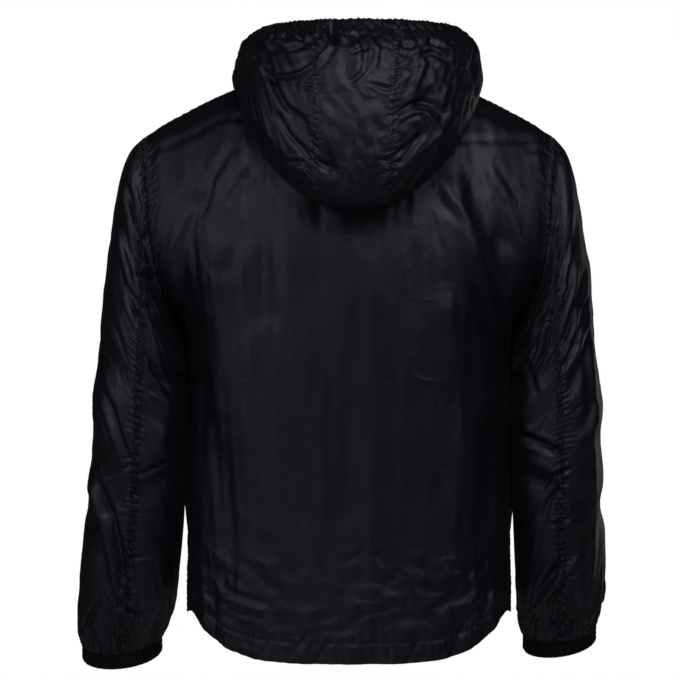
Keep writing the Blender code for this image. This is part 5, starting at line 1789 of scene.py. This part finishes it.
def node_group(
    name: str, kind: str, inputs: dict[str, str], output: tuple[str, str]
) -> tuple[NodeTree, Bench | None]:
    """Makes a node group, once.

    Args:
        name: Its name.
        kind: Shader or Geometry.
        inputs: The kinds of its inputs, by their names.
        output: The name and the kind of its output.

    Returns:
        The group, and a bench if it is new.
    """
    made = bpy.data.node_groups.get(name)
    if made:
        return made, None
    made = bpy.data.node_groups.new(name, f"{kind}NodeTree")
    for each, sort in inputs.items():
        made.interface.new_socket(each, in_out="INPUT", socket_type=f"NodeSocket{sort}")
    made.interface.new_socket(output[0], in_out="OUTPUT", socket_type=f"NodeSocket{output[1]}")
    return made, Bench(made)


def effect(name: str, *inputs: str) -> tuple[NodeTree, Bench | None]:
    """A shader node group with a Vector input, these value inputs and a Height output."""
    sockets = {"Vector": "Vector", **dict.fromkeys(inputs, "Float")}
    return node_group(name, "Shader", sockets, ("Height", "Float"))


def woven_threads() -> NodeTree:
    """Builds a plain weave: threads, counted per metre, that pass over and under each other.

    Returns:
        Its node group.
    """
    made, bench = effect("woven threads", "Threads")
    if bench:
        given = bench.add("NodeGroupInput").outputs
        scaling = {0: given["Vector"], "Scale": given["Threads"]}
        scaled = bench.add("ShaderNodeVectorMath", scaling, operation="SCALE").outputs["Vector"]
        split = bench.add("ShaderNodeSeparateXYZ", (scaled,)).outputs
        turns = (bench.math("MULTIPLY", split[axis], math.pi) for axis in ("X", "Y"))
        arches = [bench.math("ABSOLUTE", bench.math("SINE", turn)) for turn in turns]
        floors = bench.math("ADD", bench.math("FLOOR", split["X"]), bench.math("FLOOR", split["Y"]))
        over = bench.math("MULTIPLY", bench.math("FRACT", bench.math("MULTIPLY", floors, 0.5)), 2.0)
        warp = bench.math("MULTIPLY", arches[0], over)
        weft = bench.math("MULTIPLY", arches[1], bench.math("SUBTRACT", 1.0, over))
        bench.add("NodeGroupOutput", {"Height": bench.math("ADD", warp, weft)})
    return made


def crinkles() -> NodeTree:
    """Builds the fine irregular crinkles of thin cloth that has been handled.

    Returns:
        Their node group, whose Scale is per metre.
    """
    made, bench = effect("crinkles", "Scale")
    if bench:
        given = bench.add("NodeGroupInput").outputs
        where, kinds = (given["Vector"], given["Scale"]), {"noise_dimensions": "2D"}
        soft = bench.noise(*where, 3.0, 0.6, **kinds)
        sharp = bench.noise(*where, 1.5, 1.1, noise_type="RIDGED_MULTIFRACTAL", **kinds)
        height = bench.math("ADD", soft, bench.math("MULTIPLY", sharp, 0.32))
        bench.add("NodeGroupOutput", {"Height": height})
    return made


def puckers() -> NodeTree:
    """Builds the small folds across a gathered seam: soft ridges with sharp troughs between.

    Returns:
        Their node group.
    """
    made, bench = effect("puckers", "Beside columns", "Beside rows")
    if bench:
        given = bench.add("NodeGroupInput").outputs
        parts = []
        for place, stretch in (("Beside columns", (38, 150, 1)), ("Beside rows", (150, 38, 1))):
            laid = bench.add("ShaderNodeVectorMath", (given["Vector"], stretch), operation="MULTIPLY")
            noise = bench.noise(laid.outputs["Vector"], 1.0, 1.5, 0.4, noise_dimensions="2D")
            ridge = bench.math("ABSOLUTE", bench.math("SUBTRACT", noise, 0.5))
            parts.append(bench.math("MULTIPLY", ridge, given[place]))
        height = bench.math("MULTIPLY", bench.math("ADD", *parts), 4.0)
        bench.add("NodeGroupOutput", {"Height": height})
    return made


def new_material(name: str) -> tuple[Material, Bench, Node]:
    """Makes a material.

    Args:
        name: Its name.

    Returns:
        The material, a bench for its nodes, and its shader.
    """
    made = bpy.data.materials.new(name)
    made.use_nodes = True
    return made, Bench(made.node_tree), made.node_tree.nodes["Principled BSDF"]


@dataclass(frozen=True)
class Finish:
    """What a surface is made of.

    Attributes:
        name: The name of its material.
        slot: The slot of the record that it belongs to; not used.
        colour: Its colour, as linear red, green and blue.
        lighter: How much lighter the colour gets in places, as a share.
        roughness: The least and the greatest roughness.
        threads: Threads per metre of its weave, or 0.
        thread_height: How far they stand out.
        crinkle_height: How deep its crinkles are.
        crinkle_scale: How many crinkles there are in a metre.
        pucker_height: How deep the puckers beside its seams are.
        metallic: 1 for metal.
        sheen: How much light its fibres catch.
        tint: The colour of what it reflects.
        gloss: How much it reflects.
        blotches: How many places of another shade there are in a metre.
    """

    name: str
    slot: str
    colour: Triple
    lighter: float = 0.25
    roughness: tuple[float, float] = (0.35, 0.45)
    threads: float = 0.0
    thread_height: float = 0.00003
    crinkle_height: float = 0.0
    crinkle_scale: float = 60.0
    pucker_height: float = 0.0
    metallic: float = 0.0
    sheen: float = 0.0
    tint: Triple = (1.0, 1.0, 1.0)
    gloss: float = 0.5
    blotches: float = 14.0

    def material(self) -> Material:
        """Makes the material of the finish, once.

        Returns:
            The material.
        """
        made = bpy.data.materials.get(self.name)
        if made:
            return made
        made, bench, shader = new_material(self.name)
        if self.threads or self.crinkle_height:
            where = bench.add("ShaderNodeUVMap", uv_map="cloth").outputs["UV"]
        else:
            where = bench.add("ShaderNodeTexCoord").outputs["Object"]
        blotch = bench.noise(where, self.blotches, 4.0)
        rough = bench.add("ShaderNodeMapRange", (blotch, 0.35, 0.65, *self.roughness)).outputs[0]
        paler = tuple(part * (1 + self.lighter) for part in self.colour)
        values = {
            "Base Color": bench.mix(blotch, self.colour, paler),
            "Roughness": rough,
            "Metallic": self.metallic,
            "Sheen Weight": self.sheen,
            "Sheen Roughness": 0.45,
            "Specular Tint": (*self.tint, 1),
            "Specular IOR Level": self.gloss,
            "Normal": self.normal(bench, where),
        }
        bench.fill(shader, values)
        return made

    def normal(self, bench: Bench, where: NodeSocket) -> NodeSocket:
        """Lays its puckers, crinkles and threads over each other, or a fine grain on hard parts.

        Args:
            bench: The bench of its material.
            where: The place on the surface.

        Returns:
            The normal for the shader.
        """
        reliefs = []
        if self.pucker_height:
            seams = bench.add("ShaderNodeUVMap", uv_map="seams").outputs["UV"]
            split = bench.add("ShaderNodeSeparateXYZ", (seams,)).outputs
            beside = {"Beside columns": split["X"], "Beside rows": split["Y"]}
            reliefs.append((puckers(), beside, self.pucker_height))
        if self.crinkle_height:
            for finer, lower in ((1.0, 1.0), (3.1, 0.28)):
                scale = {"Scale": self.crinkle_scale * finer}
                reliefs.append((crinkles(), scale, self.crinkle_height * lower))
        if self.threads:
            reliefs.append((woven_threads(), {"Threads": self.threads}, self.thread_height))
        below = {}
        for group, values, height in reliefs:
            pattern = bench.add("ShaderNodeGroup", node_tree=group)
            bench.fill(pattern, {"Vector": where, **values})
            rise = {"Height": pattern.outputs["Height"], "Distance": height}
            below = {"Normal": bench.relief({**rise, **below})}
        if below:
            return below["Normal"]
        return bench.relief({"Height": bench.noise(where, self.blotches * 60), "Distance": 0.00002})


NYLON = Finish(
    "black nylon taffeta", "nylon", (0.0034, 0.0031, 0.0058), roughness=(0.36, 0.45), threads=2600,
    crinkle_height=0.0008, crinkle_scale=30, pucker_height=0.0042, sheen=0.02, tint=(0.78, 0.76, 1.0),
)
ELASTIC = Finish(
    "black pleated elastic", "elastic", (0.0030, 0.0028, 0.0042), roughness=(0.46, 0.58), threads=2200,
    crinkle_height=0.0003, crinkle_scale=120, sheen=0.01, tint=(0.6, 0.6, 0.66), gloss=0.25,
)
TAPE = Finish(
    "black woven tape", "zip_tape", (0.0095, 0.0095, 0.0110), roughness=(0.62, 0.72), threads=1500,
    thread_height=0.00009, sheen=0.12,
)
THREAD = Finish("black thread", "nylon", (0.0160, 0.0158, 0.0200), roughness=(0.45, 0.55), blotches=60)
COIL = Finish("black coil", "zip_tape", (0.0140, 0.0140, 0.0150), roughness=(0.30, 0.38), blotches=60)
ENAMEL = Finish(
    "black enamel", "zip_metal", (0.0300, 0.0300, 0.0330), roughness=(0.28, 0.40), metallic=0.85,
    blotches=300,
)


# ---- the studio
@dataclass(frozen=True)
class Softbox:
    """A soft light: where it stands, what it shines on, its size and its power in watts."""

    name: str
    place: Triple
    target: Triple
    size: tuple[float, float]
    power: float

    def light(self) -> None:
        """Sets up the light."""
        data = bpy.data.lights.new(self.name, "AREA")
        data.shape, data.energy = "RECTANGLE", self.power
        data.size, data.size_y = self.size
        lamp = link_object(self.name, data)
        lamp.location = self.place
        lamp.rotation_euler = (Vector(self.target) - lamp.location).to_track_quat("-Z", "Y").to_euler()


@dataclass
class Studio:
    """A plain pale floor, a plain white surround, soft lights and the camera behind the jacket."""

    distance: float = 3.2
    aim: Triple = (0.0106, 0.0, -0.293)
    view_width: float = 0.802  # what the frame shows at the aim
    floor_z: float = -1.45
    floor_size: float = 10.0
    floor_colours: tuple[Triple, ...] = ((0.42, 0.42, 0.41), (0.47, 0.47, 0.46))
    floor_glow: Triple = (0.70, 0.70, 0.69)
    surround: float = 0.011
    lights: tuple[Softbox, ...] = (
        Softbox("behind, high", (-0.4, 2.0, 2.0), (0.0, 0.1, -0.2), (1.6, 0.9), 26.5),
        Softbox("behind, low", (0.5, 2.3, -1.2), (0.0, 0.15, 0.0), (1.2, 0.4), 2.3),
        Softbox("behind left", (1.8, 2.1, 1.0), (0.1, 0.0, -0.1), (0.6, 1.0), 8.5),
        Softbox("behind right", (-1.9, 2.1, 1.1), (-0.1, 0.0, -0.1), (0.6, 1.0), 8.0),
        Softbox("beside left", (2.2, 1.4, 0.1), (0.1, 0.0, 0.1), (0.5, 0.8), 3.2),
        Softbox("beside right", (-2.0, -1.75, -0.3), (-0.3, 0.0, -0.4), (0.12, 1.0), 2.0),
        Softbox("in front", (0.0, -2.6, 0.3), (0.0, 0.0, -0.3), (0.9, 0.7), 18.0),
    )

    def set_up(self) -> None:
        """Builds the studio."""
        bpy.context.scene.view_settings.view_transform = "Standard"
        data = bpy.data.cameras.new("camera")
        data.lens = data.sensor_width * self.distance / self.view_width
        camera = link_object("camera", data)
        camera.location = Vector(self.aim) + Vector((0, self.distance, 0))
        camera.rotation_euler = Vector((0, 1, 0)).to_track_quat("Z", "Y").to_euler()
        bpy.context.scene.camera = camera
        self.world()
        self.floor()
        for each in self.lights:
            each.light()
        log.info("studio: %d lights", len(self.lights))

    def world(self) -> None:
        """A surround that is white to look at and dim as a light."""
        world = bpy.data.worlds.new("surround")
        world.use_nodes = True
        bpy.context.scene.world = world
        bench = Bench(world.node_tree)
        seen = bench.add("ShaderNodeLightPath").outputs["Is Camera Ray"]
        strength = bench.add("ShaderNodeMapRange", (seen, 0.0, 1.0, self.surround, 1.0)).outputs[0]
        bench.fill(world.node_tree.nodes["Background"], {"Color": (1, 1, 1, 1), "Strength": strength})

    def floor(self) -> None:
        """The floor, well below the jacket: paper that is pale to look at and dim as a light."""
        half = self.floor_size / 2
        mesh = bpy.data.meshes.new("floor")
        corners = [(-half, -half), (half, -half), (half, half), (-half, half)]
        mesh.from_pydata([(x, y, self.floor_z) for x, y in corners], [], [(0, 1, 2, 3)])
        paper, bench, shader = new_material("pale floor")
        grain = bench.noise(bench.add("ShaderNodeTexCoord").outputs["Object"], 3.0)
        seen = bench.add("ShaderNodeLightPath").outputs["Is Camera Ray"]
        values = {
            "Base Color": bench.mix(grain, *self.floor_colours),
            "Roughness": 0.9,
            "Emission Color": bench.mix(seen, (0, 0, 0), self.floor_glow),
            "Emission Strength": 1.0,
        }
        bench.fill(shader, values)
        mesh.materials.append(paper)
        made = link_object("floor", mesh)


# ---- putting it together
def surface_of(sheets: list[Cloth], first_row: int = 100, step: int = 3) -> BVHTree:
    """Joins the upper parts of sheets into one searchable surface.

    Args:
        sheets: The sheets of cloth.
        first_row: The row that each part starts from.
        step: From one row or column that is taken to the next.

    Returns:
        The surface, whose normals point out.
    """
    points, faces, first = [], [], 0
    for sheet in sheets:
        grid = sheet.points[first_row::step, ::step]
        index = first + np.arange(grid.shape[0] * grid.shape[1]).reshape(grid.shape[:2])
        corners = [index[:-1, :-1], index[:-1, 1:], index[1:, 1:], index[1:, :-1]]
        quads = np.stack(corners if sheet.outward > 0 else corners[::-1], axis=-1).reshape(-1, 4)
        points.append(grid.reshape(-1, 3))
        faces += quads.tolist()
        first += index.size
    return BVHTree.FromPolygons(np.concatenate(points).tolist(), faces)


@dataclass
class Jacket:
    """The whole windbreaker."""

    torso: Torso = field(default_factory=Torso)
    hood: Hood = field(default_factory=Hood)
    sleeves: tuple[Sleeve, Sleeve] = (Sleeve(Side.LEFT), Sleeve(Side.RIGHT))
    zipper: Zip = field(default_factory=Zip)
    stitching: Stitching = field(default_factory=Stitching)

    def make_torso(self) -> tuple[list[Cloth], Object]:
        """Makes the back and the fronts.

        Returns:
            Their sheets of cloth (the back, then the left and the right front), and the back's object.
        """
        back = self.torso.back()
        piece = back.cut_out("back_cloth", (Edge.SEWN, Edge.SEWN, Edge.HEMMED, Edge.SEWN))
        self.stitching.beside(piece, 2, self.torso.casing)
        made = piece.dress(NYLON, "back", "hung")
        fronts = []
        for side in Side:
            front = self.torso.front(side.value)
            edges = (Edge.FACED, Edge.SEWN, Edge.HEMMED, Edge.SEWN)
            piece = front.cut_out(f"front_cloth_{side.word}", edges)
            self.stitching.beside(piece, 2, self.torso.casing)
            self.stitching.beside(piece, 0, self.stitching.beside_fold)
            piece.dress(NYLON, f"front_{side.word}", "hung")
            fronts.append(front)
        return [back, *fronts], made

    def make_hood(self, torso: list[Cloth], back: Object) -> Cloth:
        """Makes the hood, which lies on the back.

        Args:
            torso: The sheets of the back and the fronts.
            back: The back's object.

        Returns:
            The hood's sheet of cloth.
        """
        sheet = self.hood.sheet(surface_of(torso))
        right, centre, left = self.hood.pieces(sheet)
        sewing = self.stitching
        sewing.beside(right, 1, *sewing.beside_seam)
        sewing.beside(left, 0, *sewing.beside_seam)
        for piece in (right, centre, left):
            sewing.beside(piece, 3, piece.hem)
        sewing.beside(right, 0, sewing.beside_fold)
        sewing.beside(left, 1, sewing.beside_fold)
        for piece, node in ((right, "hood_right"), (centre, "hood_centre"), (left, "hood_left")):
            piece.dress(NYLON, node, "draped", (back,))
        return sheet

    def make_sleeves(self) -> None:
        """Makes both sleeves and their cuffs."""
        sewing = self.stitching
        for sleeve in self.sleeves:
            word = sleeve.side.word
            upper, under = sleeve.pieces(sleeve.tube())
            cuff = sleeve.cuff()
            sewing.beside(upper, 1, *sewing.beside_seam)
            sewing.beside(upper, 2, sewing.below_armhole)
            sewing.beside(under, 2, sewing.below_armhole)
            sewing.round_cuff(cuff, sleeve.stitched_rows)
            upper.dress(NYLON, f"sleeve_upper_{word}", "hung")
            under.dress(NYLON, f"sleeve_under_{word}", "hung")
            cuff.dress(ELASTIC, f"cuff_{word}", "stretched")

    def make_zip(self, fronts: list[Cloth], hood: Cloth) -> None:
        """Makes the tapes and their coils, and finishes the zip's hard parts.

        Args:
            fronts: The sheets of the left and the right front.
            hood: The sheet of the hood.
        """
        paths = [self.zipper.path(front, hood, side) for front, side in zip(fronts, Side)]
        for path, side in zip(paths, Side):
            self.zipper.tape(path, side).dress(TAPE, f"zip_tape_{side.word}", "stretched")
        self.zipper.coils(paths[0])
        for name in ("zip_slider", "zip_pull", "zip_box"):
            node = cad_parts[name]
            for place in node.material_slots:
                place.material = ENAMEL.material()
            log.info("%s: finished as black enamel", name)

    def make(self) -> None:
        """Makes every piece in order."""
        torso, back = self.make_torso()
        hood = self.make_hood(torso, back)
        self.make_sleeves()
        self.make_zip(torso[1:], hood)
        self.stitching.sew()


def main() -> None:
    """Sets up the studio and makes the jacket in it."""
    logging.basicConfig(level=logging.INFO, format="%(name)s: %(message)s")
    Studio().set_up()
    Jacket().make()


if __name__ == "__main__":
    main()
